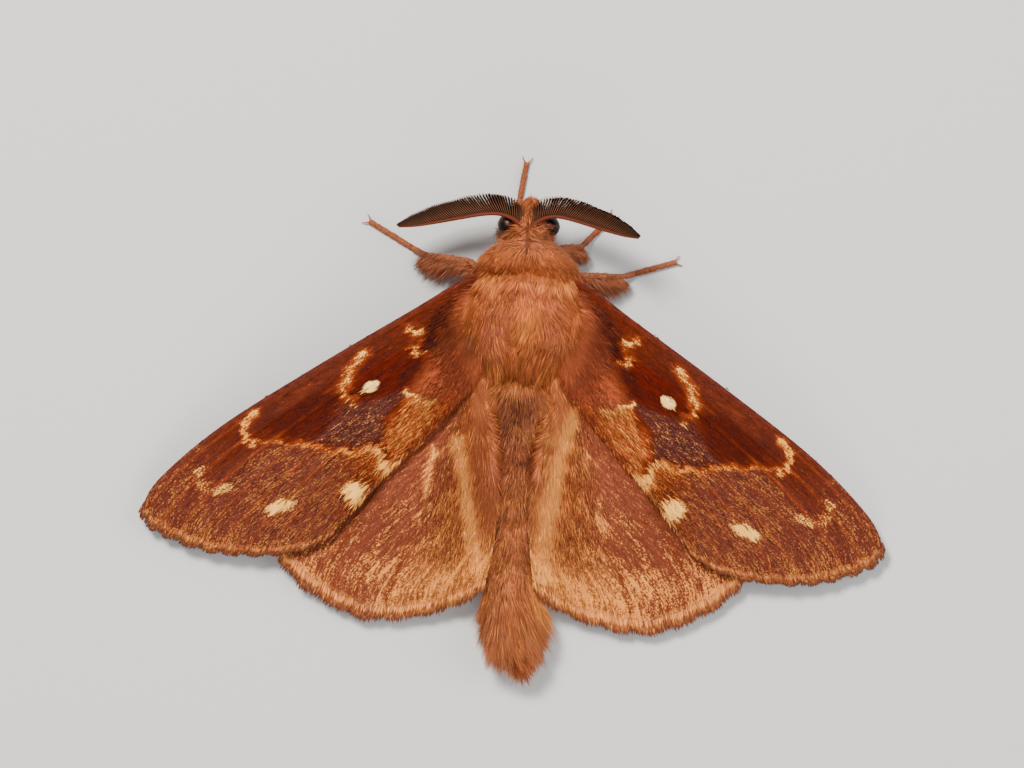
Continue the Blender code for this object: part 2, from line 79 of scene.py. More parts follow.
# The OFBake map: a wing's width, shift and length, the body's shift and length, and a tuft's patch
WING_SHEET = (32, 20, 64)
BODY_SHEET = (24, 40)
PATCH_SIZE = 0.003

# The moth's plan is in millimetres, with X to its right and Y towards its head. Its Y = 0 lies level with
# the white wing spots, and the eyes tell how far that is from the frame's own origin.
EYE_PLACE = (1.62, 13.15, 4.75)
EYE_RADIUS = 0.86
EYE_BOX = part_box("eye_left")
PLAN_SHIFT = (EYE_BOX[0][1] + EYE_BOX[1][1]) / 2 / MM - EYE_PLACE[1]

# Wings, as in the solids
HINGE = (3.5, 6.0)
HINGE_HEIGHT = 6.2
WING_FALL = 0.148
FOLD_RISE = 2.9
FOLD_WIDTH = 3.0
LAYER_STEP = 0.98
SCALLOP = 0.14
WING_REACH = 30.1

FOREWING = {
    "costa": [(3.2, 9.0), (4.9, 8.6), (8.8, 6.0), (16.4, 1.0), (23.8, -4.2), (28.6, -8.7),
        (WING_REACH, -11.5)],
    "outer": [(WING_REACH, -11.5), (28.6, -12.8), (24.6, -14.1), (20.2, -14.2), (16.8, -13.55),
        (14.4, -12.3)],
    "inner": [(3.2, 3.2), (4.1, 0.2), (6.4, -3.0), (10.5, -7.5), (14.4, -12.3)],
    "base": [(3.2, 9.0), (2.9, 6.2), (3.2, 3.2)],
    "veins": (0.04, 0.13, 0.23, 0.34, 0.45, 0.56, 0.67, 0.79, 0.92),
    "starts": (0.0, 0.2, 0.12, 0.12, 0.42, 0.5, 0.44, 0.1, 0.1),
    "rows": 216,
    "columns": 104,
    "drop": 0.0,
    "fringe": 0.42,
}
HINDWING = {
    "costa": [(3.0, 5.2), (8.0, 0.6), (13.5, -4.6), (17.8, -9.3), (19.2, -12.4)],
    "outer": [(19.2, -12.4), (18.0, -15.2), (14.9, -17.5), (11.4, -18.75), (7.6, -18.35), (4.4, -17.25),
        (1.9, -15.7)],
    "inner": [(2.2, 1.9), (3.1, -0.6), (2.4, -3.8), (1.7, -7.0), (1.35, -11.3), (1.9, -15.7)],
    "base": [(3.0, 5.2), (2.4, 3.6), (2.2, 1.9)],
    "veins": (0.05, 0.18, 0.31, 0.44, 0.57, 0.7, 0.84),
    "starts": (0.0, 0.1, 0.35, 0.4, 0.35, 0.1, 0.1),
    "rows": 156,
    "columns": 116,
    "drop": LAYER_STEP,
    "fringe": 0.62,
}

# Markings of the forewing, in the plan of either wing
WHITE_SPOT = ((11.9, -0.42), 0.72, 0.42, math.radians(-24))
CRESCENT = [(12.5, 2.2), (13.2, 1.4), (13.8, 0.5), (14.05, -0.35), (13.9, -1.2), (13.2, -1.9)]
POSTMEDIAN = [
    (21.0, -2.9), (21.7, -3.6), (21.9, -4.5), (21.35, -5.25), (20.2, -5.35), (19.0, -5.1), (18.0, -5.32),
    (17.0, -5.05),
    (15.8, -5.45), (14.7, -5.85), (13.8, -5.45), (12.7, -5.8), (12.1, -5.2), (11.5, -5.05),
    (10.9, -5.5), (10.55, -6.3), (10.5, -6.85), (10.0, -6.55), (9.3, -6.3),
]
ANTEMEDIAN = [(9.2, -0.55), (8.5, -0.95), (7.7, -1.05), (6.3, -0.95)]
MEDIAN_PATCH = [
    (20.8, -3.1), (18.7, -1.8), (16.7, -0.9), (15.0, -0.5), (14.4, -1.4), (14.65, -3.2), (15.9, -4.65),
    (17.8, -5.0),
    (19.8, -4.75), (20.9, -4.1),
]
PURPLE_ZONE = [
    (8.8, -0.1), (11.2, -1.4), (13.9, -2.1), (14.6, -3.0), (15.6, -4.3), (16.6, -4.95), (14.7, -5.6),
    (13.7, -5.25), (12.75, -5.5),
    (11.75, -4.9), (10.6, -4.6), (10.9, -3.0), (9.9, -1.35), (8.9, -0.9),
]
ORANGE_ZONE = [(8.9, -1.1), (6.2, -1.2), (4.6, 0.2), (4.6, -0.8), (6.3, -2.6), (8.1, -4.6), (9.6, -6.2),
    (10.3, -5.3), (10.2, -3.4)]
DARK_WEDGE = [(5.9, 5.4), (6.5, 4.1), (8.1, 1.3), (9.2, -0.2), (10.2, 0.1), (8.9, 1.9), (7.6, 3.9)]
DISC_ZONE = [(7.4, 4.0), (9.6, 2.6), (12.4, 1.7), (13.7, 0.2), (13.5, -1.3), (11.3, -1.3), (9.1, -0.4),
    (8.4, 1.4)]
BASE_PATCHES = [((8.7, 4.2), 0.95, 0.5, 0.6), ((8.35, 2.8), 0.85, 0.55, 0.6)]
ROOT_ZONE = [(2, 3), (5.2, 5.4), (8.6, -0.6), (6.4, -1.2), (3.5, -0.5)]
OUTER_SPOTS = [
    ((18.8, -10.45), 1.2, 0.46, -0.3, 0.95),
    ((12.75, -8.9), 0.85, 0.75, 0.5, 1.0),
    ((24.9, -9.1), 0.6, 0.5, -0.3, 0.36),
    ((23.3, -9.2), 0.75, 0.35, -0.3, 0.34),
    ((25.4, -8.1), 0.45, 0.45, 0.0, 0.28),
]
COSTAL_STREAK = ((17.0, -0.75), 1.9, 0.3, math.radians(-27))
# The wings lie a little unevenly, so each hindwing shows its own streaks: left with -1, right with 1
HIND_STREAKS = {
    -1: [
        ([(4.8, -3.0), (4.4, -4.6), (4.0, -6.2), (3.45, -8.8), (2.95, -12.2), (2.6, -14.6)], 0.44, 1.0),
        ([(6.5, -4.6), (6.8, -6.2), (7.1, -8.8)], 0.26, 0.55),
        ([(7.3, -3.6), (8.5, -6.4)], 0.16, 0.35),
    ],
    1: [
        ([(4.3, -0.2), (4.0, -2.0), (3.45, -4.0), (2.9, -6.6), (2.6, -9.0), (2.5, -11.4), (2.6, -14.8)],
            0.54, 1.0),
        ([(5.2, -4.4), (5.6, -7.4)], 0.2, 0.35),
        ([(6.6, -8.6), (7.3, -11.4)], 0.12, 0.5),
    ],
}

# Body of the skin: place along Y, half width, top and bottom, shift of the middle in X
SKIN = [
    (14.3, 0.3, 4.75, 4.25, 0.1),
    (14.1, 0.75, 5.2, 3.75, 0.08),
    (13.5, 1.15, 5.75, 3.45, 0.03),
    (12.9, 1.5, 6.1, 3.35, 0),
    (12.3, 1.5, 6.15, 3.45, 0),
    (11.95, 1.5, 6.4, 3.6, 0),
    (11.5, 2.3, 7.0, 3.3, 0),
    (11.0, 2.9, 7.35, 3.0, 0),
    (10.2, 3.65, 7.5, 2.6, 0),
    (9.3, 4.05, 7.35, 2.2, 0),
    (8.4, 4.15, 7.7, 1.9, 0),
    (6.8, 4.2, 8.1, 1.7, 0),
    (5.2, 4.15, 8.0, 1.7, 0),
    (3.8, 3.9, 7.5, 1.8, 0),
    (2.8, 3.2, 6.7, 2.0, 0),
    (2.1, 2.5, 5.6, 1.9, 0),
    (1.2, 2.3, 5.1, 1.7, 0),
    (0.0, 2.35, 5.1, 1.55, 0),
    (-4.0, 2.25, 4.95, 1.25, 0),
    (-8.0, 2.1, 4.6, 1.0, 0),
    (-12.0, 2.0, 4.3, 0.85, 0),
    (-15.5, 1.9, 3.95, 0.85, 0.1),
    (-18.2, 1.8, 3.65, 0.95, 0.3),
    (-20.2, 1.35, 3.15, 1.2, 0.5),
    (-21.2, 0.6, 2.5, 1.6, 0.7),
]
SKIN_SIDES = 72
SKIN_RINGS = 260
COLLAR_CREASE = 9.25
THORAX_END = 2.3
REAR_CENTRE = (0.25, 4.9)
REAR_RADIUS = 4.0
NECK = 12.15

# Antennae, as in the solids
SHAFT_PLAN = [(0.45, 13.1), (1.3, 13.65), (2.4, 13.9), (3.7, 13.78), (5.4, 13.4), (7.1, 13.0),
    (8.8, 12.62), (10.2, 12.45)]
SHAFT_HEIGHTS = {-1: (5.9, 6.0, 6.0, 5.9, 5.8, 5.7, 5.55, 5.4), 1: (5.9, 6.1, 6.4, 6.8, 7.3, 7.8, 8.3, 8.7)}
SHAFT_REACH = {-1: 1.0, 1: 0.86}
RAMUS_LEAN = math.radians(33)
RAMUS_SPREAD = math.radians(27)

# Legs, as in the solids: hip, knee, ankle, foot's start and claws' tips, and how the hair hangs
LEGS = {
    "foreleg_left": dict(path=[(-1.2, 10.4, 3.0), (-1.9, 12.2, 2.3), (-1.1, 14.2, 1.2), (-0.84, 15.4, 0),
        (-0.38, 18.85, 0)],
                         hang=(-0.9, -0.9, 0), fringe=0.9),
    "foreleg_right": dict(path=[(1.4, 10.3, 3.0), (2.9, 11.6, 2.5), (4.3, 11.7, 1.3), (5.1, 12.65, 0),
        (6.97, 14.72, 0)],
                          hang=(0.35, -1.0, -0.15), fringe=1.4),
    "midleg_left": dict(path=[(-2.2, 8.0, 2.6), (-4.6, 10.1, 2.6), (-8.2, 10.45, 1.2), (-9.3, 11.0, 0),
        (-13.3, 13.2, 0)],
                        hang=(-0.35, -1.0, -0.2), fringe=1.9),
    "midleg_right": dict(path=[(2.2, 8.0, 2.6), (4.4, 9.45, 2.6), (7.6, 9.5, 1.2), (8.7, 9.85, 0),
        (12.5, 11.15, 0)],
                         hang=(0.35, -1.0, -0.2), fringe=1.8),
    "hindleg_left": dict(path=[(-1.9, 4.2, 2.6), (-5.2, 1.2, 2.9), (-8.2, -4.2, 1.2), (-8.7, -5.4, 0),
        (-9.9, -9.6, 0)],
                         hang=(0.5, -1.0, -0.1), fringe=1.2),
    "hindleg_right": dict(path=[(1.9, 4.2, 2.6), (5.2, 1.2, 2.9), (8.2, -4.2, 1.2), (8.7, -5.4, 0),
        (9.9, -9.6, 0)],
                          hang=(-0.5, -1.0, -0.1), fringe=1.2),
}
FEMUR_RADIUS = 0.36
TIBIA_RADIUS = 0.27
TARSUS_RADIUS = 0.25
CLAW_LENGTH = 0.55

# The photograph's view: straight down, with the moth turned a little in the frame
VIEW_CENTRE = (-0.66, 0.44)
VIEW_WIDTH = 81.92
VIEW_ROLL = math.radians(3.1)
VIEW_LEVEL = 4.0
CAMERA_HEIGHT = 350.0
SENSOR = 36.0

# The stage: lights as name, place, power, width and colour
FLOOR_HALF = 3.0
FLOOR_COLOUR = (0.66, 0.65, 0.63, 1)
SKY_COLOUR = (0.9, 0.93, 1.0, 1)
SKY_STRENGTH = 0.4
LIGHTS = (
    ("key", (-0.12, 0.18, 0.36), 2.9, 0.1, (1.0, 0.96, 0.9)),
    ("fill", (0.3, 0.05, 0.25), 0.9, 0.3, (0.95, 0.97, 1.0)),
    ("rim", (0.02, -0.35, 0.2), 0.7, 0.2, (1.0, 0.98, 0.95)),
)


def paint(red, green, blue):
    """A colour as the shaders take it, from its screen values of 0 to 255."""
    def linear(value):
        value /= 255
        return value / 12.92 if value <= 0.04045 else ((value + 0.055) / 1.055) ** 2.4
    return (linear(red), linear(green), linear(blue))


class MothColours(bpy.types.PropertyGroup):
    """Colours of the scales, fur and horn."""

    def colour(name, note, *screen):
        return FloatVectorProperty(name=name, description=note, default=paint(*screen), subtype="COLOR",
            min=0, max=1)

    ground: colour("Ground", "Forewing's ground colour", 82, 24, 3)
    disc: colour("Disc", "Dark red-brown round the white spot", 76, 13, 0)
    patch: colour("Median Patch", "Darkest patch of the forewing", 66, 14, 2)
    purple: colour("Purple Zone", "Purple-brown zone behind the spot", 74, 33, 28)
    orange: colour("Orange Zone", "Orange-brown zone at the inner edge", 156, 64, 20)
    outer: colour("Outer Zone", "Forewing beyond the pale band", 92, 40, 28)
    gold: colour("Gold", "Golden scales of the bands and spots", 226, 136, 48)
    cream: colour("Cream", "Palest scales of the bands and spots", 240, 178, 84)
    white: colour("White Spot", "Spot at the end of the cell", 255, 206, 122)
    edge: colour("Edge", "Fringe of the wings", 104, 52, 32)
    hind: colour("Hindwing", "Hindwing's ground colour", 108, 52, 33)
    hind_pale: colour("Hindwing Pale", "Pale streaks and margin of the hindwing", 226, 140, 62)
    fur: colour("Fur", "Thorax fur", 184, 92, 50)
    # Pale fur colour, also used for painted highlights on the thorax's crown, its upper sides and single
    # hairs
    pale_fur_and_highlight: colour("Pale Fur", "Crown of the thorax", 234, 138, 60)
    # Dark fur colour, also used for painted shade in the collar crease and at the thorax's rear
    dark_fur_and_shade: colour("Dark Fur", "Creases and rear of the thorax", 110, 42, 14)
    belly: colour("Abdomen", "Fur of the abdomen's front", 142, 76, 50)
    tail: colour("Tail", "Fur of the abdomen's rear and tip", 186, 104, 60)
    horn: colour("Horn", "Antennae's branches", 30, 17, 11)
    # Upper branches' colour: painted light, lighter than the lower row as if lit from above
    horn_lit: colour("Upper Branches", "Antennae's upper row of branches", 132, 88, 66)
    shaft: colour("Shaft", "Antennae's shafts", 100, 42, 20)
    leg: colour("Leg", "Legs and their hair", 160, 90, 56)
    eye: colour("Eye", "Eyes", 14, 7, 4)


class MothSizes(bpy.types.PropertyGroup):
    """Sizes of the finer forms, held in metres as Blender shows them, and numbers of tufts."""

    def length(name, note, millimetres, least):
        return FloatProperty(
            name=name, description=note, default=millimetres * MM, min=least * MM, precision=5,
            subtype="DISTANCE", unit="LENGTH")

    def count(name, note, number, least):
        return IntProperty(name=name, description=note, default=number, min=least)

    membrane: length("Membrane", "Thickness of a wing with its scales", 0.24, 0.05)
    vein_rise: length("Vein Rise", "Height of a vein over the membrane", 0.13, 0)
    vein_width: length("Vein Width", "Half width of a vein", 0.13, 0.02)
    pleat: length("Pleat", "Sag of the membrane between veins", 0.07, 0)
    hair_width: length("Hair Width", "Width of a tuft of fur at its root", 0.085, 0.02)
    thorax_hair: length("Thorax Hair", "Length of the thorax fur", 1.5, 0.1)
    abdomen_hair: length("Abdomen Hair", "Length of the abdomen's fur", 1.25, 0.1)
    tail_hair: length("Tail Hair", "Length of the tail tuft", 2.7, 0.1)
    face_hair: length("Face Hair", "Length of the head's fur", 0.85, 0.1)
    wing_hair: length("Wing Hair", "Length of the hair on the wing roots", 1.5, 0.1)
    thorax_tufts: count("Thorax Tufts", "Tufts on the thorax", 60000, 1)
    abdomen_tufts: count("Abdomen Tufts", "Tufts on the abdomen", 50000, 1)
    head_tufts: count("Head Tufts", "Tufts on the head", 11000, 1)
    fore_tufts: count("Forewing Tufts", "Hairs on a forewing", 17000, 1)
    hind_tufts: count("Hindwing Tufts", "Hairs on a hindwing", 25000, 1)
    branches: count("Branches", "Branches in one row of an antenna", 57, 2)
    ramus_length: length("Branch Length", "Longest branch of an antenna", 2.1, 0.1)
    shaft_radius: length("Shaft Radius", "Radius of an antenna's shaft", 0.16, 0.02)


def sizes():
    """The chosen sizes: lengths in millimetres, and numbers of tufts as they are."""
    chosen = bpy.context.scene.moth_sizes
    values = {key: getattr(chosen, key) for key in MothSizes.__annotations__}
    return SimpleNamespace(**{key: v / MM if isinstance(v, float) else v for key, v in values.items()})


def colours():
    """The chosen colours as rows of numbers."""
    chosen = bpy.context.scene.moth_colours
    return {key: np.array(getattr(chosen, key)) for key in MothColours.__annotations__}


class Graph:
    """A node tree with one way to add a node."""

    def __init__(self, tree):
        self.tree = tree

    def node(self, kind, settings=None, inputs=None):
        made = self.tree.nodes.new(kind)
        for key, value in (settings or {}).items():
            setattr(made, key, value)
        for key, value in (inputs or {}).items():
            self.feed(open_socket(made.inputs, key), value)
        return made

    def feed(self, socket, value):
        if isinstance(value, Number):
            value = value.socket
        if isinstance(value, bpy.types.NodeSocket):
            self.tree.links.new(value, socket)
        else:
            socket.default_value = value

    def number(self, kind, output, settings=None, inputs=None):
        return Number(self, open_socket(self.node(kind, settings, inputs).outputs, output))

    def attribute(self, name, output="Fac"):
        return self.number("ShaderNodeAttribute", output, {"attribute_name": name})

    def noise(self, vector, scale, detail=2.0, rough=0.5, output="Fac"):
        inputs = {"Vector": vector, "Scale": scale, "Detail": detail, "Roughness": rough}
        return self.number("ShaderNodeTexNoise", output, None, inputs)

    def mix(self, factor, first, second, blend="MIX"):
        inputs = {"Factor": factor, "A": first, "B": second}
        return self.number("ShaderNodeMix", "Result", {"data_type": "RGBA", "blend_type": blend}, inputs)

    def stretch(self, vector, scale):
        inputs = {0: vector, 1: scale}
        return self.number("ShaderNodeVectorMath", "Vector", {"operation": "MULTIPLY"}, inputs)

    def shaded(self, colour, light):
        """A colour made lighter or darker by a number."""
        tint = self.number("ShaderNodeCombineColor", "Color", None, {0: light, 1: light, 2: light})
        return self.mix(1.0, colour, tint, "MULTIPLY")


def open_socket(sockets, key):
    """A socket by its number, or the first one in use that has the name."""
    if isinstance(key, int):
        return sockets[key]
    return next(socket for socket in sockets if socket.name == key and socket.enabled)


class Number:
    """A socket that takes part in plain arithmetic by adding Math nodes."""

    def __init__(self, graph, socket):
        self.graph = graph
        self.socket = socket

    def math(self, operation, *others, clamp=False):
        inputs = {k: value for k, value in enumerate(others)}
        return self.graph.number("ShaderNodeMath", "Value", {"operation": operation, "use_clamp": clamp},
            inputs)

    def __add__(self, other):
        return self.math("ADD", self, other)

    def __sub__(self, other):
        return self.math("SUBTRACT", self, other)

    def __rsub__(self, other):
        return self.math("SUBTRACT", other, self)

    def __mul__(self, other):
        return self.math("MULTIPLY", self, other)

    __radd__ = __add__
    __rmul__ = __mul__

    def smooth(self, low, high):
        inputs = {"Value": self, "From Min": low, "From Max": high}
        return self.graph.number("ShaderNodeMapRange", "Result", {"interpolation_type": "SMOOTHSTEP"}, inputs)


def material(name, **fixed):
    """A new material with a Principled shader and its fixed values: returns it, its graph and the shader."""
    made = bpy.data.materials.new(name)
    made.use_nodes = True
    shader = made.node_tree.nodes["Principled BSDF"]
    for key, value in fixed.items():
        shader.inputs[key.replace("_", " ")].default_value = value
    return made, Graph(made.node_tree), shader


def bump(graph, shader, height, strength, distance):
    """Gives a shader bumps; the distance is in millimetres."""
    inputs = {"Height": height, "Strength": strength, "Distance": distance * MM}
    graph.feed(shader.inputs["Normal"], graph.number("ShaderNodeBump", "Normal", None, inputs))


def scale_material(name):
    """Wing scales: the painted markings, broken up by rows of fine scales that lie along the wing."""
    made, graph, shader = material(name, Specular_IOR_Level=0.06)
    ground = graph.attribute("colour", "Color")
    fleck = graph.attribute("fleck", "Color")
    flow = graph.attribute("flow", "Vector")
    pale = graph.attribute("pale")
    rows = graph.noise(graph.stretch(flow, (1.3, 5.2, 1.0)), 1.0, 2.0, 0.6)
    grains = graph.noise(graph.stretch(flow, (6.0, 9.0, 1.0)), 1.0, 2.0, 0.7)
    broad = graph.noise(graph.stretch(flow, (0.35, 0.9, 1.0)), 1.0, 2.0, 0.5)
    light = rows.smooth(0.28, 0.74) * 0.5 + grains.smooth(0.3, 0.72) * 0.45 + broad * 0.3 + 0.4
    shade = graph.shaded(ground, light)
    cover = (grains * 0.62 + rows * 0.38 + (broad - 0.5) * 0.2 + pale * 0.4).smooth(0.66, 0.79)
    graph.feed(shader.inputs["Base Color"], graph.mix(cover, shade, fleck))
    graph.feed(shader.inputs["Roughness"], rows * 0.25 + 0.5)
    bump(graph, shader, rows * 0.6 + grains * 0.4, 0.5, 0.06)
    return made


def fur_material(name, roughness=0.5, root=0.25, rise=0.8, gloss=0.28):
    """Fur: each tuft carries its own colour, times a painted light that starts at the given root value and
    changes by rise towards the tip; where it rises, the darker roots are painted shade.
    """
    made, graph, shader = material(name, Specular_IOR_Level=gloss)
    ground = graph.attribute("colour", "Color")
    along = graph.attribute("along")
    place = graph.number("ShaderNodeTexCoord", "Object")
    patchy = graph.noise(place, 900.0, 3.0, 0.6)
    # painted light along each tuft: the root value, changed by rise towards the tip, with random patches
    light = along.smooth(0.0, 0.8) * rise + patchy * 0.5 + root
    graph.feed(shader.inputs["Base Color"], graph.shaded(ground, light))
    graph.feed(shader.inputs["Roughness"], patchy * 0.3 + (roughness - 0.15))
    return made


def skin_material():
    """The skin under the fur: the coat's colours, darkened, with a short matted nap."""
    made, graph, shader = material("moth_skin", Specular_IOR_Level=0.1)
    ground = graph.attribute("colour", "Color")
    flow = graph.attribute("flow", "Vector")
    nap = graph.noise(graph.stretch(flow, (1.2, 9.0, 1.0)), 1.0, 4.0, 0.65)
    light = nap.smooth(0.25, 0.75) * 0.5 + 0.35
    graph.feed(shader.inputs["Base Color"], graph.shaded(ground, light))
    graph.feed(shader.inputs["Roughness"], nap * 0.2 + 0.7)
    bump(graph, shader, nap, 0.7, 0.15)
    return made


def eye_material():
    """A dark compound eye with painted amber glints and a fine lattice of facets."""
    made, graph, shader = material("moth_eye", Specular_IOR_Level=0.2)
    place = graph.number("ShaderNodeTexCoord", "Object")
    facets = graph.number("ShaderNodeTexVoronoi", "Distance", None, {"Vector": place, "Scale": 14000.0})
    # noise patches that paint an amber glint, the eye's reflection, into its dark colour
    glow = graph.noise(place, 1500.0, 2.0, 0.5)
    dark = (*bpy.context.scene.moth_colours.eye, 1)
    amber = (*paint(120, 48, 14), 1)
    graph.feed(shader.inputs["Base Color"], graph.mix(glow.smooth(0.5, 0.7) * 0.7, dark, amber))
    graph.feed(shader.inputs["Roughness"], facets.smooth(0.0, 0.7) * 0.15 + 0.25)
    bump(graph, shader, 1 - facets, 0.25, 0.02)
    return made


def horn_material(name, colour, rings):
    """Horny surface of a shaft, branch or leg, with fine rings and short down."""
    made, graph, shader = material(name, Specular_IOR_Level=0.15)
    along = graph.attribute("along")
    place = graph.number("ShaderNodeTexCoord", "Object")
    down = graph.noise(place, 6000.0, 3.0, 0.6)
    turns = along * (rings * 2 * math.pi)
    ring = turns.math("SINE", turns)
    dark = tuple(0.45 * c for c in colour)
    light = down * 0.6 + ring * 0.15 + 0.2
    graph.feed(shader.inputs["Base Color"], graph.mix(light.smooth(0.15, 0.75), (*dark, 1), (*colour, 1)))
    graph.feed(shader.inputs["Roughness"], down * 0.3 + 0.38)
    bump(graph, shader, down * 0.5 + ring * 0.3, 0.5, 0.05)
    return made


def unit(vectors):
    """Vectors scaled to a length of one."""
    vectors = np.asarray(vectors, float)
    return vectors / np.maximum(np.linalg.norm(vectors, axis=-1, keepdims=True), 1e-9)


def curve_through(points, count):
    """Points evenly spaced along a smooth curve through the given ones."""
    p = np.asarray(points, float)
    p = np.vstack([2 * p[0] - p[1], p, 2 * p[-1] - p[-2]])
    fine = []
    for a, b, c, d in zip(p, p[1:], p[2:], p[3:]):
        for t in np.linspace(0, 1, 16, endpoint=False):
            fine.append(0.5 * (2 * b + (c - a) * t + (2 * a - 5 * b + 4 * c - d) * t**2
                + (3 * b - a - 3 * c + d) * t**3))
    fine = np.array([*fine, p[-2]])
    along = np.concatenate([[0], np.cumsum(np.linalg.norm(np.diff(fine, axis=0), axis=1))])
    wanted = np.linspace(0, along[-1], count)
    return np.stack([np.interp(wanted, along, fine[:, k]) for k in range(fine.shape[1])], axis=1)


def ripple(places, size, seed):
    """Smooth noise from -1 to 1 over flat places, whose lumps are about the given size."""
    rng = np.random.default_rng(seed)
    lattice = rng.uniform(-1, 1, (64, 64))
    cell = np.asarray(places, float)[..., :2] / size
    low = np.floor(cell).astype(int)
    part = cell - low
    part = part * part * (3 - 2 * part)
    corner = lambda i, j: lattice[(low[..., 0] + i) % 64, (low[..., 1] + j) % 64]
    front = corner(0, 0) * (1 - part[..., 0]) + corner(1, 0) * part[..., 0]
    back = corner(0, 1) * (1 - part[..., 0]) + corner(1, 1) * part[..., 0]
    return front * (1 - part[..., 1]) + back * part[..., 1]


def line_distance(places, line):
    """Distance from each place to a line, and how far along it, from 0 to 1, the nearest point lies."""
    best = np.full(places.shape[:-1], 1e9)
    along = np.zeros(places.shape[:-1])
    line = np.asarray(line, float)
    for k, (a, b) in enumerate(zip(line, line[1:])):
        way = b - a
        t = np.clip(((places - a) @ way) / (way @ way), 0, 1)
        far = np.linalg.norm(places - (a + t[..., None] * way), axis=-1)
        nearer = far < best
        best = np.where(nearer, far, best)
        along = np.where(nearer, (k + t) / (len(line) - 1), along)
    return best, along


def inside(places, outline):
    """Depth inside a closed outline, negative outside it."""
    outline = np.asarray(outline, float)
    closed = np.vstack([outline, outline[:1]])
    depth, _ = line_distance(places, closed)
    x, y = places[..., 0], places[..., 1]
    within = np.zeros(x.shape, bool)
    for a, b in zip(closed, closed[1:]):
        if a[1] != b[1]:
            crossing = ((a[1] > y) != (b[1] > y)) & (x < (b[0] - a[0]) * (y - a[1]) / (b[1] - a[1]) + a[0])
            within ^= crossing
    return np.where(within, depth, -depth)


def blob(places, centre, long, short, angle):
    """1 in the middle of an ellipse, 0 at its edge and negative beyond."""
    c, s = math.cos(angle), math.sin(angle)
    away = places - np.array(centre)
    return 1 - np.hypot((away[..., 0] * c + away[..., 1] * s) / long, (away[..., 1] * c - away[..., 0] * s)
        / short)


def soft(values, low, high):
    """0 at low and beyond, 1 at high and beyond, and a smooth rise between."""
    t = np.clip((values - low) / (high - low), 0, 1)
    return t * t * (3 - 2 * t)


def blend(base, colour, amount):
    """Colours moved towards another by an amount of 0 to 1 for each."""
    return base + (np.asarray(colour) - base) * np.asarray(amount)[..., None]


def wing_height(x, y):
    """Height of the forewing's middle surface."""
    away = np.hypot(np.abs(x) - HINGE[0], y - HINGE[1])
    behind = np.clip((3.0 - y) / 4.0, 0.0, 1.0)
    fold = FOLD_RISE * np.exp(-((np.abs(x) / FOLD_WIDTH) ** 2)) * behind
    return HINGE_HEIGHT - WING_FALL * away + fold


def vein_distance(wing, s, t, chord):
    """Distance across the wing to the nearest vein, in millimetres; far off before the vein starts."""
    best = np.full(s.shape, 9.0)
    for vein, start in zip(wing["veins"], wing["starts"]):
        far = np.abs(t - vein) * chord + np.clip(start - s, 0, 1) * 30
        best = np.minimum(best, far)
    return best


def wing_grid(wing, rows, shares, reach=1.0):
    """Plan points of a wing from root to outer edge, its flow along the rows, and each row's width."""
    spans = np.linspace(0, reach, rows)
    fine = np.linspace(0, 1, 400)
    pick = lambda curve, at: np.stack([np.interp(at, fine, curve_through(wing[curve], 400)[:, k])
        for k in (0, 1)], axis=-1)
    front, back, near, far = (
        pick("costa", spans), pick("inner", spans), pick("base", shares), pick("outer", shares))
    s, t = spans[:, None, None], shares[None, :, None]
    a, b, c, d = (pick("costa", 0), pick("inner", 0), pick("costa", 1), pick("inner", 1))
    corners = (1 - s) * ((1 - t) * a + t * b) + s * ((1 - t) * c + t * d)
    grid = (1 - t) * front[:, None] + t * back[:, None] + (1 - s) * near[None] + s * far[None] - corners
    chord = np.linalg.norm(front - back, axis=1)[:, None] * np.ones((1, len(shares)))
    return grid, s[..., 0] * np.ones_like(chord), t[..., 0] * np.ones_like(chord), chord


def wing_uv(plan):
    """Where places of a wing's plan lie in the OFBake map."""
    wide, shift, long = WING_SHEET
    return np.column_stack([plan[:, 0] / wide, (plan[:, 1] + shift) / long])


def body_uv(share, y):
    """Where places on the skin lie in the OFBake map, by their share of the way round and their Y."""
    shift, long = BODY_SHEET
    return np.column_stack([np.abs(share - 0.5) * 2, (y + shift) / long])


def root_spots(uv):
    """Places in the map as the tufts' roots carry them, with a third number of 0."""
    return np.column_stack([uv, np.zeros(len(uv))])


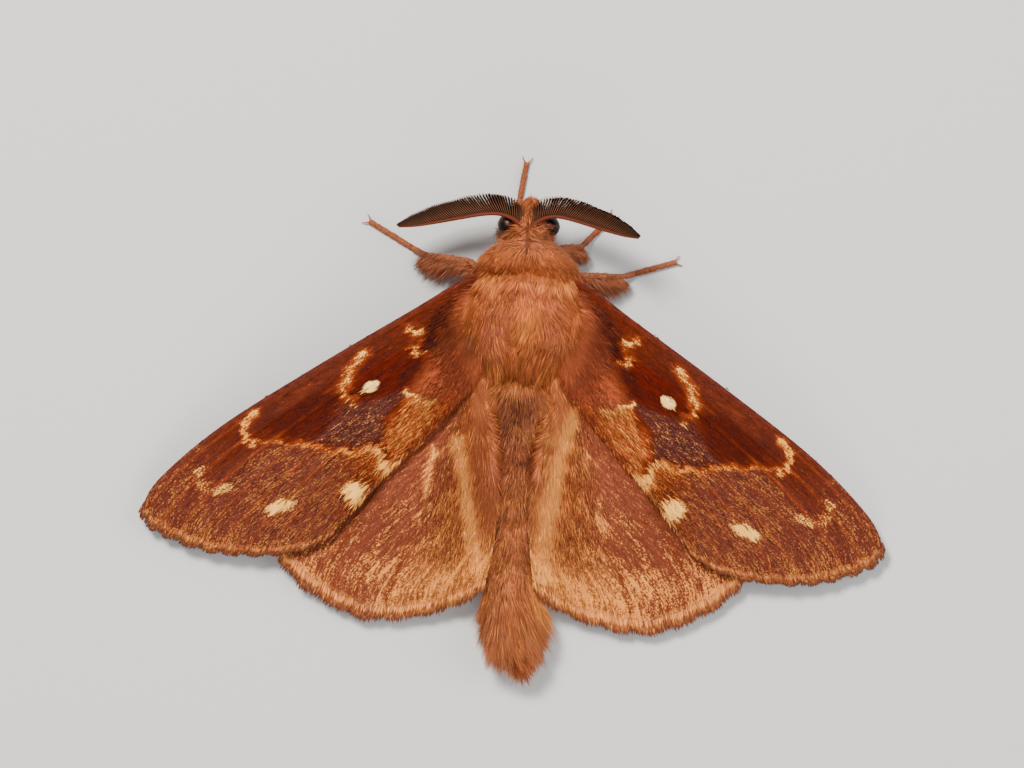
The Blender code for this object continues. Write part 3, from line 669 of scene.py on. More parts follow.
def wing_form(wing):
    """Everything about a wing's upper surface: places, flow, how far along and across, and its height."""
    size = sizes()
    rows, columns = wing["rows"], wing["columns"]
    shares = np.linspace(0, 1, columns)
    length = np.linalg.norm(np.diff(curve_through(wing["costa"], 100), axis=0), axis=1).sum()
    reach = 1 - wing["fringe"] * 0.75 / length
    plan, s, t, chord = wing_grid(wing, rows, shares, reach)
    edges = np.array([0.0, *wing["veins"], 1.0])
    gap = np.clip(np.searchsorted(edges, t, side="right") - 1, 0, len(edges) - 2)
    between = (t - edges[gap]) / (edges[gap + 1] - edges[gap])
    wave = SCALLOP * np.sin(math.pi * between) * 2 - SCALLOP
    flow = unit(np.gradient(plan, axis=0))
    plan = plan + flow * (wave * soft(s, reach - 0.035, reach))[..., None]
    veins = vein_distance(wing, s, t, chord)
    ridge = size.vein_rise * np.exp(-((veins / size.vein_width) ** 2))
    sag = -size.pleat * np.sin(math.pi * between) * soft(s, 0.15, 0.6)
    rim = np.minimum.reduce([t * chord, (1 - t) * chord, (reach - s) * length])
    thick = size.membrane * (0.35 + 0.65 * soft(rim, 0.0, 0.6))
    middle = wing_height(plan[..., 0], plan[..., 1]) - wing["drop"] + 0.02
    crumple = 0.035 * ripple(plan, 1.6, 8) + 0.02 * ripple(plan, 0.6, 9)
    upper = middle + thick / 2 + ridge * soft(rim, 0.0, 0.5) + sag + crumple
    lower = middle - thick / 2 - ridge * 0.4 * soft(rim, 0.0, 0.5) + sag + crumple
    return {"plan": plan, "s": s / reach, "t": t, "chord": chord, "flow": flow, "upper": upper,
        "lower": lower,
            "veins": veins, "length": length, "rim": rim, "edge": (reach - s) * length + wing["fringe"]
            * 0.75}


def wing_axes(form):
    """Places on a wing measured along and across the lie of its scales, and the direction across."""
    flow = form["flow"]
    side = np.stack([-flow[..., 1], flow[..., 0]], axis=-1)
    return np.stack([form["s"] * form["length"], form["t"] * form["chord"]], axis=-1), side


def forewing_paint(form):
    """The forewing's scales: ground colour, colour of the pale flecks and how thickly these lie."""
    tone = colours()
    plan, s, t = form["plan"], form["s"], form["t"]
    fine, side = wing_axes(form)
    rag = ripple(fine * (0.7, 2.4), 0.5, 1) * 0.38 + ripple(fine * (0.8, 3.4), 0.3, 2) * 0.25
    places = plan + form["flow"] * rag[..., None] + side * (ripple(plan, 0.6, 3) * 0.1)[..., None]
    grain = ripple(fine * (1, 2.5), 0.3, 4)
    costa = fine[..., 1]
    base = np.ones((*s.shape, 3)) * tone["ground"]

    def lay(name, amount, gain=1.0):
        """Lays one of the named colours, times a gain, over the ground."""
        nonlocal base
        base = blend(base, tone[name] * gain, amount)

    fleck = base * 0 + tone["orange"] * 1.15
    pale = np.full(s.shape, 0.05)
    band, along = line_distance(places, POSTMEDIAN)
    outline = [*POSTMEDIAN, (7.5, -8), (14, -13.5), (20, -16), (31, -16), (32, -10), (22, -0.5)]
    beyond = soft(inside(places, outline), -0.15, 0.2)
    front = soft(costa, 4.3, 1.8)
    lay("outer", beyond)
    lay("ground", beyond * soft(places[..., 0], 15.5, 11.5) * 0.9, 1.1)
    lay("ground", beyond * front * soft(places[..., 0], 28, 22) * 0.8, 0.9)
    pale += (
        0.3 * beyond * (1 - 0.8 * front * soft(places[..., 0], 27, 23)) + 0.04 * soft(form["edge"], 3.0, 1.0))
    fleck = blend(fleck, tone["gold"] * (0.62, 0.72, 1.05), beyond * 0.9)
    lay("fur", soft(inside(places, ROOT_ZONE), -0.8, 0.8) * 0.85, (0.58, 0.5, 0.52))
    lay("fur", soft(fine[..., 0], 3.4, 0.8) * soft(costa, 0.8, 2.2) * 0.8)
    pale -= 0.05 * soft(inside(places, ROOT_ZONE), -0.6, 0.5)
    purple = soft(inside(places, PURPLE_ZONE) + 0.15 * ripple(plan, 0.7, 17), -0.4, 0.35)
    lay("purple", purple)
    fleck = blend(fleck, tone["gold"] * (0.72, 0.82, 1.5), purple)
    pale += 0.27 * purple
    orange = soft(inside(places, ORANGE_ZONE) + 0.25 * ripple(plan, 0.8, 16), -0.6, 0.6)
    lay("orange", orange * 0.9, 0.95)
    fleck = blend(fleck, tone["gold"] * (1.05, 1.2, 1.7), orange)
    pale += 0.42 * orange * soft(plan[..., 0], 4.0, 8.0)
    disc = soft(inside(places, DISC_ZONE), -0.5, 0.5)
    lay("disc", disc)
    median = inside(places, MEDIAN_PATCH)
    dark = soft(median, -0.25, 0.35) * (0.35 + 0.65 * soft(median + 0.5 * soft(costa, 3.5, 5.5), 0.0, 0.8))
    lay("patch", dark)
    wedge = soft(inside(places, DARK_WEDGE), -0.3, 0.35)
    lay("patch", wedge, 0.85)
    pale = pale * (1 - 0.9 * np.maximum.reduce([disc, dark, wedge]))
    streaks = (
        soft(ripple(fine * (0.25, 1.6), 0.5, 5), 0.25, 0.8) * soft(costa, 0.5, 1.5) * soft(s, 0.35, 0.5)
        * (1 - beyond))
    lay("orange", streaks * 0.3 * soft(costa, 4.0, 2.0), 0.8)
    base = base * (1 + 0.2 * ripple(fine * (0.22, 1.8), 0.45, 15) * (1 - beyond))[..., None]
    lay("orange", soft(blob(places, *COSTAL_STREAK), 0.0, 0.9) * 0.75, 0.7)
    lay("outer", soft(costa, 2.4, 0.6) * soft(s, 0.15, 0.4) * (1 - beyond) * 0.55, 0.75)
    rim = soft(costa, 0.45, 0.05)
    lay("outer", rim * 0.6, 1.1)
    for centre, long, short, angle in BASE_PATCHES:
        amount = soft(blob(places, centre, long, short, angle), -0.5, 0.9)
        lay("orange", amount * 0.7)
        fleck = blend(fleck, tone["cream"] * 1.05, amount)
        pale += amount * 0.56
    near, _ = line_distance(places, CRESCENT)
    tip = soft(places[..., 1], -1.9, -0.6)
    amount = soft(0.78 - near, 0.0, 0.72)
    lay("orange", amount * (0.35 + 0.6 * tip), 0.9)
    fleck = blend(fleck, tone["cream"] * 1.1, amount)
    pale += amount * (0.21 + 0.27 * tip)
    near, _ = line_distance(places, ANTEMEDIAN)
    amount = soft(0.42 - near, 0.0, 0.35)
    lay("orange", amount * 0.8)
    fleck = blend(fleck, tone["cream"], amount)
    pale += amount * 0.5
    rear = soft(along, 0.6, 0.8)
    ends = np.maximum(rear, soft(along, 0.3, 0.08))
    width = 0.38 + 0.1 * rear + 0.16 * soft(along, 0.25, 0.05)
    amount = soft(width - band, 0.0, 0.35)
    glow = soft(1.5 - band, 0.0, 1.2) * beyond * soft(along, 0.5, 0.75)
    lay("orange", glow * 0.5)
    pale += 0.12 * glow
    shadow = soft(0.95 - band, 0.0, 0.5) * (1 - beyond) * soft(along, 0.3, 0.5) * (1 - 0.6 * rear)
    lay("patch", shadow * 0.55)
    lay("orange", amount * (0.6 + 0.35 * ends))
    fleck = blend(fleck, tone["gold"] + (tone["cream"] - tone["gold"]) * ends[..., None] * 0.6, amount)
    pale += amount * (0.3 + 0.24 * ends + 0.08 * rear)
    for centre, long, short, angle, strength in OUTER_SPOTS:
        amount = soft(blob(places, centre, long * 1.15, short * 1.25, angle), -0.25, 0.65) * strength
        lay("orange", amount * 0.8, 1.3)
        fleck = blend(fleck, tone["cream"] * 1.1, soft(amount, 0.0, 0.3))
        pale += amount * 0.6
    thread = soft(form["veins"], 0.16, 0.05) * soft(s, 0.42, 0.6)
    thread = thread * (0.7 + 0.3 * ripple(fine * (0.3, 1), 0.6, 7))
    lay("orange", thread * 0.42 * (0.2 + 0.8 * beyond))
    line = soft(np.abs(form["edge"] - 0.72), 0.25, 0.04) * soft(t, 0.03, 0.1)
    lay("orange", line * 0.35)
    pale += 0.14 * line
    trim = soft(form["edge"], 0.6, 0.42)
    lay("edge", trim, 0.82)
    dot = soft(blob(plan, *WHITE_SPOT) + ripple(plan, 0.32, 6) * 0.28, 0.0, 0.16)
    lay("disc", soft(blob(plan, WHITE_SPOT[0], 1.2, 0.8, WHITE_SPOT[3]), 0.0, 0.35) * 0.6, 0.85)
    lay("white", dot)
    pale = pale * (1 - dot) * (1 - trim) - 0.4 * dot
    fleck = fleck * (1 + 0.15 * grain[..., None])
    return base * (1 + 0.1 * grain[..., None]), fleck, pale


def hindwing_paint(form):
    """The hindwing's scales: ground colour, colour of the pale flecks and how thickly these lie."""
    tone = colours()
    plan, s, t = form["plan"], form["s"], form["t"]
    fine, side = wing_axes(form)
    lines = ripple(fine * (0.14, 2.4), 0.32, 11) * 0.6 + ripple(fine * (0.2, 3.5), 0.3, 12) * 0.4
    places = plan + side * (ripple(fine, 0.8, 13) * 0.15)[..., None]
    base = np.ones((*s.shape, 3)) * tone["hind"]

    def lay(name, amount, gain=1.0):
        """Lays one of the named colours, times a gain, over the ground."""
        nonlocal base
        base = blend(base, tone[name] * gain, amount)

    fleck = base * 0 + tone["hind_pale"]
    pale = np.full(s.shape, 0.24)
    inner = soft(t, 0.5, 0.9) * soft(s, 1.0, 0.6)
    lay("orange", inner * 0.6, 0.75)
    pale += 0.2 * inner
    # painted light: the hindwing's root half is lightened to make up for the forewing's shadow over it
    base = base * (1 + 0.5 * soft(s, 0.8, 0.35))[..., None]
    outer = soft(form["edge"], 7.5, 2.2) * (0.72 + 0.28 * soft(form["edge"], 0.9, 2.4))
    lay("hind", outer * 0.6, 1.25)
    lay("hind_pale", outer * soft(t, 0.45, 0.85) * 0.5, 0.7)
    pale += 0.22 * outer * (0.7 + 0.5 * soft(t, 0.3, 0.8)) + 0.1 * max(form["side"], 0) * soft(s, 0.78, 0.95)
    pale += 0.42 * soft(lines, 0.1, 0.6) * (0.5 + 0.5 * soft(t, 0.3, 0.8)) - 0.12 * soft(lines, -0.1, -0.6)
    lay("dark_fur_and_shade", soft(lines, -0.2, -0.6) * 0.4)
    for line, width, strength in HIND_STREAKS[form["side"]]:
        near, along = line_distance(places, line)
        taper = soft(along, 0.0, 0.1) * (1 - 0.55 * soft(along, 0.7, 1.0))
        amount = soft(width * 2.2 - near + lines * 0.4, 0.0, width * 2.0) * strength * taper
        lay("hind_pale", amount * 0.7, (1.0, 0.75, 0.75))
        fleck = blend(fleck, tone["cream"] * (1.15, 0.98, 1.1), amount)
        pale += amount * 0.75
    lay("dark_fur_and_shade", soft(form["veins"], 0.12, 0.03) * 0.6 * soft(s, 0.6, 0.85), 0.8)
    line = soft(np.abs(form["edge"] - 0.9), 0.22, 0.04) * (0.6 + 0.4 * ripple(fine * (0.5, 1), 0.7, 18))
    lay("hind_pale", line * 0.35)
    pale += 0.18 * line
    trim = soft(form["edge"], 0.75, 0.5)
    lay("edge", trim, 1.25)
    grain = 1 + 0.12 * ripple(fine * (1, 3), 0.3, 14)[..., None]
    return base * grain, fleck * grain, pale * (1 - trim)


def piece(name, points, faces, finish, replaces=(), uv=None, values=None):
    """A mesh piece from points in the plan's millimetres, riding with the body."""
    points = (np.asarray(points, float) + (0, PLAN_SHIFT, 0)) * MM
    mesh = bpy.data.meshes.new(name)
    mesh.from_pydata(points.tolist(), [], [list(face) for face in faces])
    mesh.materials.append(finish)
    mesh.shade_smooth()
    if uv is not None:
        layer = mesh.uv_layers.new(name="OFBake")
        order = np.empty(len(mesh.loops), int)
        mesh.loops.foreach_get("vertex_index", order)
        layer.uv.foreach_set("vector", np.asarray(uv, float)[order].ravel())
    store_values(mesh, values or {})
    obj = bpy.data.objects.new(name, mesh)
    bpy.context.scene.collection.objects.link(obj)
    if replaces:
        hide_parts(*replaces)
    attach(obj, "root")
    return obj


def store_values(mesh, values):
    """Keeps a colour, a vector or a number at each of the mesh's points."""
    for key, rows in values.items():
        rows = np.asarray(rows, np.float32)
        if key in ("colour", "fleck"):
            rows = np.maximum(rows, 0) / np.maximum(rows.max(axis=1, keepdims=True), 1)
            rows = np.concatenate([rows, np.ones((len(rows), 1), np.float32)], axis=1)
            mesh.attributes.new(key, "FLOAT_COLOR", "POINT").data.foreach_set("color", rows.ravel())
        elif rows.ndim == 2:
            mesh.attributes.new(key, "FLOAT_VECTOR", "POINT").data.foreach_set("vector", rows.ravel())
        else:
            mesh.attributes.new(key, "FLOAT", "POINT").data.foreach_set("value", rows)


def wing_piece(name, side, wing, painter, finish, node):
    """One wing: an upper and a lower surface closed along their rim. Returns the form that hair grows on."""
    form = wing_form(wing)
    form["side"] = side
    colour, fleck, pale = painter(form)
    rows, columns = form["s"].shape
    count = rows * columns
    flat = lambda a: a.reshape(count, -1)
    plan = flat(form["plan"]) * (side, 1)
    points = np.vstack([np.column_stack([plan, form[z].reshape(-1)]) for z in ("upper", "lower")])
    a = (np.arange(rows - 1)[:, None] * columns + np.arange(columns - 1)[None]).reshape(-1)
    top = np.stack([a, a + 1, a + columns + 1, a + columns], axis=1)
    rim = np.concatenate([
        np.arange(columns - 1), np.arange(rows - 1) * columns + columns - 1,
        (rows - 1) * columns + np.arange(columns - 1, 0, -1), np.arange(rows - 1, 0, -1) * columns,
    ])
    ahead = np.roll(rim, -1)
    wall = np.stack([ahead, rim, rim + count, ahead + count], axis=1)
    faces = np.vstack([top, top[:, ::-1] + count, wall])
    if side > 0:
        faces = faces[:, ::-1]
    flow = np.column_stack([flat(form["s"]) * form["length"], flat(form["t"] * form["chord"]),
        np.zeros(count)])
    dull = flat(colour) * 0.75
    uv = wing_uv(flat(form["plan"]))
    values = {
        "colour": np.vstack([flat(colour), dull]),
        "fleck": np.vstack([flat(fleck), flat(fleck) * 0.8]),
        "flow": np.vstack([flow, flow + (0, 40, 0)]),
        "pale": np.concatenate([pale.reshape(-1), pale.reshape(-1) * 0.5]),
    }
    piece(name, points, faces[:, ::-1], finish, (node,), np.vstack([uv, uv + (0, 0.5)]), values)
    form.update(colour=colour, fleck=fleck, pale=pale)
    return form


def blade_mesh(name, bend, sway, rings, taper):
    """A closed three-sided blade along +Y, one unit long and wide, curled up by bend and aside by sway."""
    stations = 1 - (1 - np.linspace(0, 1, rings + 1)[:-1]) ** (2 if rings > 3 else 1)
    points, along = [], []
    for t in stations:
        belly = 0.8 + 0.4 * math.sin(math.pi * min(t + 0.25, 1)) if taper > 0.1 else 1.0
        half = 0.5 * (1 - t) ** taper * belly
        x, z = sway * t * t, bend * t * t
        points += [(x - half, t, z), (x + half, t, z), (x, t, z + half * 0.5)]
        along += [t] * 3
    points.append((sway, 1, bend))
    along.append(1)
    faces = [(0, 1, 2)]
    for r in range(rings - 1):
        for k in range(3):
            n = (k + 1) % 3
            faces.append((r * 3 + k, r * 3 + 3 + k, r * 3 + 3 + n, r * 3 + n))
    last = (rings - 1) * 3
    faces += [(last + k, last + 3, last + (k + 1) % 3) for k in range(3)]
    mesh = bpy.data.meshes.new(name)
    mesh.from_pydata(points, [], faces)
    mesh.shade_smooth()
    store_values(mesh, {"along": np.array(along), "patch": [(x + 0.5, y, 0) for x, y, z in points]})
    return bpy.data.objects.new(name, mesh)


def blade_set(name, bends, rings=(2,), taper=0.5):
    """A collection of blades that differ in their curl; each takes the next of the given numbers of rings."""
    held = bpy.data.collections.new(name)
    for k, (bend, sway) in enumerate(bends):
        held.objects.link(blade_mesh(f"{name}_{k}", bend, sway, rings[k % len(rings)], taper))
    return held


def drop(blades):
    """Removes a set of blades once everything has grown from it."""
    for blade in list(blades.objects):
        bpy.data.objects.remove(blade)
    bpy.data.collections.remove(blades)


def tuft_tree():
    """Geometry nodes that set a blade on every root, turned along its lie, and join them into one mesh."""
    tree = bpy.data.node_groups.new("moth_tufts", "GeometryNodeTree")
    face = tree.interface
    face.new_socket("Roots", in_out="INPUT", socket_type="NodeSocketGeometry")
    face.new_socket("Blades", in_out="INPUT", socket_type="NodeSocketCollection")
    face.new_socket("Length", in_out="INPUT", socket_type="NodeSocketFloat")
    face.new_socket("Width", in_out="INPUT", socket_type="NodeSocketFloat")
    face.new_socket("Spread", in_out="INPUT", socket_type="NodeSocketFloat")
    face.new_socket("Seed", in_out="INPUT", socket_type="NodeSocketInt")
    face.new_socket("Finish", in_out="INPUT", socket_type="NodeSocketMaterial")
    face.new_socket("Tufts", in_out="OUTPUT", socket_type="NodeSocketGeometry")
    graph = Graph(tree)
    given = graph.node("NodeGroupInput").outputs
    stored = lambda name, kind: graph.number(
        "GeometryNodeInputNamedAttribute", "Attribute", {"data_type": kind}, {"Name": name})
    blades = graph.node("GeometryNodeCollectionInfo", None, {
        "Collection": given["Blades"], "Separate Children": True, "Reset Children": True})
    which = graph.number("FunctionNodeRandomValue", "Value", {"data_type": "INT"}, {
        "Min": 0, "Max": 99, "Seed": given["Seed"]})
    vary = graph.number("FunctionNodeRandomValue", "Value", {"data_type": "FLOAT"}, {
        "Min": -1.0, "Max": 1.0, "Seed": given["Seed"]})
    scale = vary * given["Spread"] + 1.0
    length = scale * given["Length"] * stored("reach", "FLOAT")
    width = scale * given["Width"] * stored("breadth", "FLOAT")
    stretch = graph.number("ShaderNodeCombineXYZ", "Vector", None, {"X": width, "Y": length, "Z": width})
    turn = graph.number("FunctionNodeAxesToRotation", "Rotation",
        {"primary_axis": "Y", "secondary_axis": "Z"}, {
        "Primary Axis": stored("lie", "FLOAT_VECTOR"), "Secondary Axis": stored("up", "FLOAT_VECTOR")})
    placed = graph.node("GeometryNodeInstanceOnPoints", None, {
        "Points": given["Roots"], "Instance": blades.outputs["Instances"], "Pick Instance": True,
        "Instance Index": which, "Rotation": turn, "Scale": stretch})
    real = graph.node("GeometryNodeRealizeInstances", None, {"Geometry": placed.outputs["Instances"]})
    small = graph.number("ShaderNodeVectorMath", "Vector", {"operation": "SCALE"}, {
        0: stored("patch", "FLOAT_VECTOR"), "Scale": PATCH_SIZE})
    spot = graph.number("ShaderNodeVectorMath", "Vector", {"operation": "ADD"}, {
        0: stored("root_uv", "FLOAT_VECTOR"), 1: small})
    unwrapped = graph.node("GeometryNodeStoreNamedAttribute", {"data_type": "FLOAT2", "domain": "CORNER"}, {
        "Geometry": real.outputs["Geometry"], "Name": "OFBake", "Value": spot})
    painted = graph.node("GeometryNodeSetMaterial", None, {
        "Geometry": unwrapped.outputs["Geometry"], "Material": given["Finish"]})
    graph.node("NodeGroupOutput", None, {"Tufts": painted.outputs["Geometry"]})
    return tree


def grow_parts(name, roots, parts, *rest):
    """The same as grow, as several pieces that each hold a share of the roots."""
    for k in range(parts):
        grow(f"{name}_{k + 1}", {key: rows[k::parts] for key, rows in roots.items()}, *rest)


def grow(name, roots, finish, slot, blades, length=1.0, width=1.0, spread=0.25, seed=1):
    """A coat piece: a blade on every root. Lengths and widths are in millimetres."""
    tree = bpy.data.node_groups.get("moth_tufts") or tuft_tree()
    mesh = bpy.data.meshes.new(name)
    points = (roots["places"] + (0, PLAN_SHIFT, 0)) * MM
    mesh.from_pydata(points.tolist(), [], [])
    keep = {key: roots[key] for key in ("lie", "up", "reach", "breadth", "colour", "root_uv")}
    store_values(mesh, keep)
    source = bpy.data.objects.new(name + "_roots", mesh)
    bpy.context.scene.collection.objects.link(source)
    modifier = source.modifiers.new("tufts", "NODES")
    modifier.node_group = tree
    chosen = {"Blades": blades, "Length": length * MM, "Width": width * MM, "Spread": spread, "Seed": seed,
        "Finish": finish}
    for item in tree.interface.items_tree:
        if item.name in chosen:
            modifier[item.identifier] = chosen[item.name]
    bpy.context.view_layer.update()
    graph = bpy.context.evaluated_depsgraph_get()
    grown = bpy.data.meshes.new_from_object(source.evaluated_get(graph))
    grown.name = name
    bpy.data.objects.remove(source)
    for key in ("lie", "up", "reach", "breadth", "root_uv", "patch"):
        if key in grown.attributes:
            grown.attributes.remove(grown.attributes[key])
    obj = bpy.data.objects.new(name, grown)
    bpy.context.scene.collection.objects.link(obj)
    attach(obj, "root")
    return obj


def lean(along, up, angle):
    """Directions that lie along the surface and stand off it by an angle."""
    along = unit(along - (along * up).sum(-1, keepdims=True) * up)
    angle = np.asarray(angle)[..., None]
    return along * np.cos(angle) + up * np.sin(angle)


def wing_roots(form, side, rng, s, t, sway, lift, colour_spread=0.28):
    """Roots at shares s along and t across a wing, lying along its flow."""
    rows, columns = form["s"].shape
    i = np.clip((s * (rows - 1)).astype(int), 0, rows - 1)
    j = np.clip((t * (columns - 1)).astype(int), 0, columns - 1)
    plan = form["plan"][i, j] + rng.uniform(-0.06, 0.06, (len(s), 2))
    flow = form["flow"][i, j]
    turn = sway + rng.normal(0, 0.12, len(s))
    flow = np.stack([flow[:, 0] * np.cos(turn) - flow[:, 1] * np.sin(turn),
                     flow[:, 0] * np.sin(turn) + flow[:, 1] * np.cos(turn)], axis=1)
    step = 0.3
    here = wing_height(plan[:, 0], plan[:, 1])
    ahead = wing_height(plan[:, 0] + flow[:, 0] * step, plan[:, 1] + flow[:, 1] * step)
    along = np.column_stack([flow * step, ahead - here])
    up = np.column_stack([np.zeros((len(s), 2)), np.ones(len(s))])
    shade = np.maximum(1.12 + rng.normal(0, colour_spread, (len(s), 1)), 0.65)
    tint = 1 + rng.uniform(0, 1, (len(s), 1)) ** 6 * (0.9, 0.75, 0.6)
    mirror = np.array([side, 1, 1])
    lit = soft(form["pale"][i, j] * 1.1 - 0.15 - rng.uniform(0, 1, len(s)), -0.35, 0.35)
    own = blend(form["colour"][i, j], form["fleck"][i, j], 0.9 * lit)
    return {
        "places": np.column_stack([plan, form["upper"][i, j] - 0.02]) * mirror,
        "lie": lean(along, up, lift) * mirror,
        "up": up,
        "colour": own * shade * tint,
        "root_uv": root_spots(wing_uv(plan)),
        "reach": np.ones(len(s)),
        "breadth": np.ones(len(s)),
        "cell": (i, j),
    }


def forewing_hair(form, side, rng):
    """Long hair on the forewing's root and along its inner edge, thinning out over the cell."""
    count = sizes().fore_tufts
    s, t = rng.uniform(0, 1, count * 8), rng.uniform(0, 1, count * 8)
    from_root = s * form["length"]
    root = soft(from_root, 6.5 + 2.5 * t, 2.0) * soft(t, 0.06, 0.5)
    inner = soft(t, 0.6, 0.9) * soft(s, 0.6, 0.3)
    brink = soft(t, 0.965, 0.985) * soft(s, 0.95, 0.8)
    dense = np.clip(np.maximum.reduce([root, inner * 0.5, brink]) + 0.01, 0, 1)
    keep = np.flatnonzero(rng.uniform(0, 1, len(s)) < dense)[:count]
    s, t, from_root = s[keep], t[keep], from_root[keep]
    brink = soft(t, 0.965, 0.985)
    lift = rng.uniform(0.03, 0.12, len(s)) + 0.05 * soft(t, 0.3, 0.7) - 0.3 * brink
    roots = wing_roots(form, side, rng, s, t, -0.1 * (t - 0.3) - 0.3 * brink, lift, 0.38)
    roots["reach"] = (
        (0.45 + 0.7 * soft(from_root, 8.0, 2.0)) * (0.5 + 0.5 * soft(t, 0.05, 0.35)) * (1 - 0.25 * brink))
    near = soft(from_root, 4.2, 0.5) * soft(t, 0.0, 0.3)
    roots["colour"] = blend(roots["colour"], colours()["fur"] * (1.0, 1.0, 1.1), near
        * rng.uniform(0.3, 1.0, len(s)))
    return roots


def hindwing_hair(form, side, rng):
    """Hair on the hindwing, longest and thickest along the inner edge, where it leans over the abdomen."""
    count = sizes().hind_tufts
    s, t = rng.uniform(0.0, 0.99, count * 8), rng.uniform(0, 1, count * 8)
    edge = soft(t, 0.72, 0.95) * soft(s, 0.85, 0.45)
    dense = np.maximum((0.02 + 0.4 * soft(t, 0.5, 0.85)) * (0.1 + 0.9 * soft(s, 0.9, 0.4)), edge)
    keep = np.flatnonzero(rng.uniform(0, 1, len(s)) < dense)[:count]
    s, t = s[keep], t[keep]
    edge = soft(t, 0.72, 0.97) * soft(s, 0.9, 0.5)
    bridge = soft(t, 0.94, 0.97) * soft(s, 0.5, 0.3)
    lean_in = -0.15 * edge * soft(s, 0.45, 0.15) - 0.05 * edge - 0.55 * bridge
    roots = wing_roots(form, side, rng, s, t, lean_in, rng.uniform(0.02, 0.1, len(s)) + 0.07 * edge - 0.3
        * bridge)
    roots["reach"] = 0.35 + 0.35 * soft(t, 0.4, 0.9) * soft(s, 0.95, 0.5) + 0.6 * edge * (1 - 0.3 * bridge)
    roots["breadth"] = 0.65 + 0.35 * edge
    warm = colours()["hind_pale"] * (0.92, 0.76, 1.35) * (1 + rng.normal(0, 0.16, (len(s), 1)))
    # painted shade: the inner-edge hair beside the thorax's rear and the abdomen's front takes a darker,
    # belly-coloured tone
    painted_shade = soft(roots["places"][:, 1], -0.2, -1.8) * soft(roots["places"][:, 1], -12.0, -8.0)
    warm = blend(warm, colours()["belly"] * (1.15, 1.0, 0.85), 0.9 * painted_shade)
    streak = soft(form["pale"], 0.9, 0.6)[roots["cell"]]
    roots["colour"] = blend(roots["colour"], warm, edge * rng.uniform(0.4, 1.0, len(s)) * streak)
    return roots


def fringe_roots(form, side, rng, per_mm):
    """Roots of the scales that edge a wing's outer margin, in three ranks."""
    margin = form["plan"][-1]
    length = np.linalg.norm(np.diff(margin, axis=0), axis=1).sum()
    count = int(length * per_mm)
    t = rng.uniform(0, 1, count)
    s = 1 - rng.choice([0.0, 0.006, 0.013], count)
    roots = wing_roots(form, side, rng, s, t, 0, np.full(count, -0.03), 0.16)
    roots["places"][:, 2] -= 0.05
    return roots


def skin_rings(count):
    """The skin's table of sizes, drawn out to a number of evenly spaced rings."""
    return curve_through(SKIN, count)


def skin_at(y, angle):
    """Places on the skin, their outward directions and directions towards the tail."""
    table = np.array(SKIN_FINE)[::-1]

    def place(y, angle):
        half, top, bottom, shift = (np.interp(y, table[:, 0], table[:, k]) for k in (1, 2, 3, 4))
        relief = body_relief(half * np.sin(angle), y, angle)
        return np.stack([
            shift + (half + relief) * np.sin(angle), y,
            (top + bottom) / 2 + ((top - bottom) / 2 + relief) * np.cos(angle)], axis=-1)
    here = place(y, angle)
    back = unit(place(y - 0.08, angle) - place(y + 0.08, angle))
    round_ = unit(place(y, angle + 0.03) - place(y, angle - 0.03))
    return here, unit(np.cross(back, round_)), back


def collar_seam(x):
    """Where the collar ends: two rounded lobes that meet further forward."""
    return COLLAR_CREASE - 0.25 + 0.6 * np.exp(-((x / 0.8) ** 2)) + 0.1 * np.maximum(np.abs(x) - 2.4, 0) ** 2


def rear_edge(x):
    """Where the thorax fur ends over the abdomen: a rounded edge."""
    return REAR_CENTRE[1] - np.sqrt(np.maximum(REAR_RADIUS**2 - (x - REAR_CENTRE[0]) ** 2, 0))


def body_relief(x, y, angle):
    """Lobes of the thorax: two shoulders, two rear lobes with a notch between, and a shallow middle line."""
    upper = soft(np.cos(angle), 0.0, 0.7)
    within = soft(y, THORAX_END - 0.3, THORAX_END + 1.2) * soft(y, 12.0, 11.0)
    crease = -0.06 * np.exp(-(((y - collar_seam(x)) / 0.5) ** 2))
    middle = -0.2 * np.exp(-((x / 0.45) ** 2)) * soft(y, 5.0, 3.5)
    shoulders = 0.22 * np.exp(-(((np.abs(x) - 2.2) / 1.1) ** 2)) * soft(y, 6.0, 4.2) * soft(y, 2.2, 3.0)
    return upper * within * (crease + middle + shoulders)


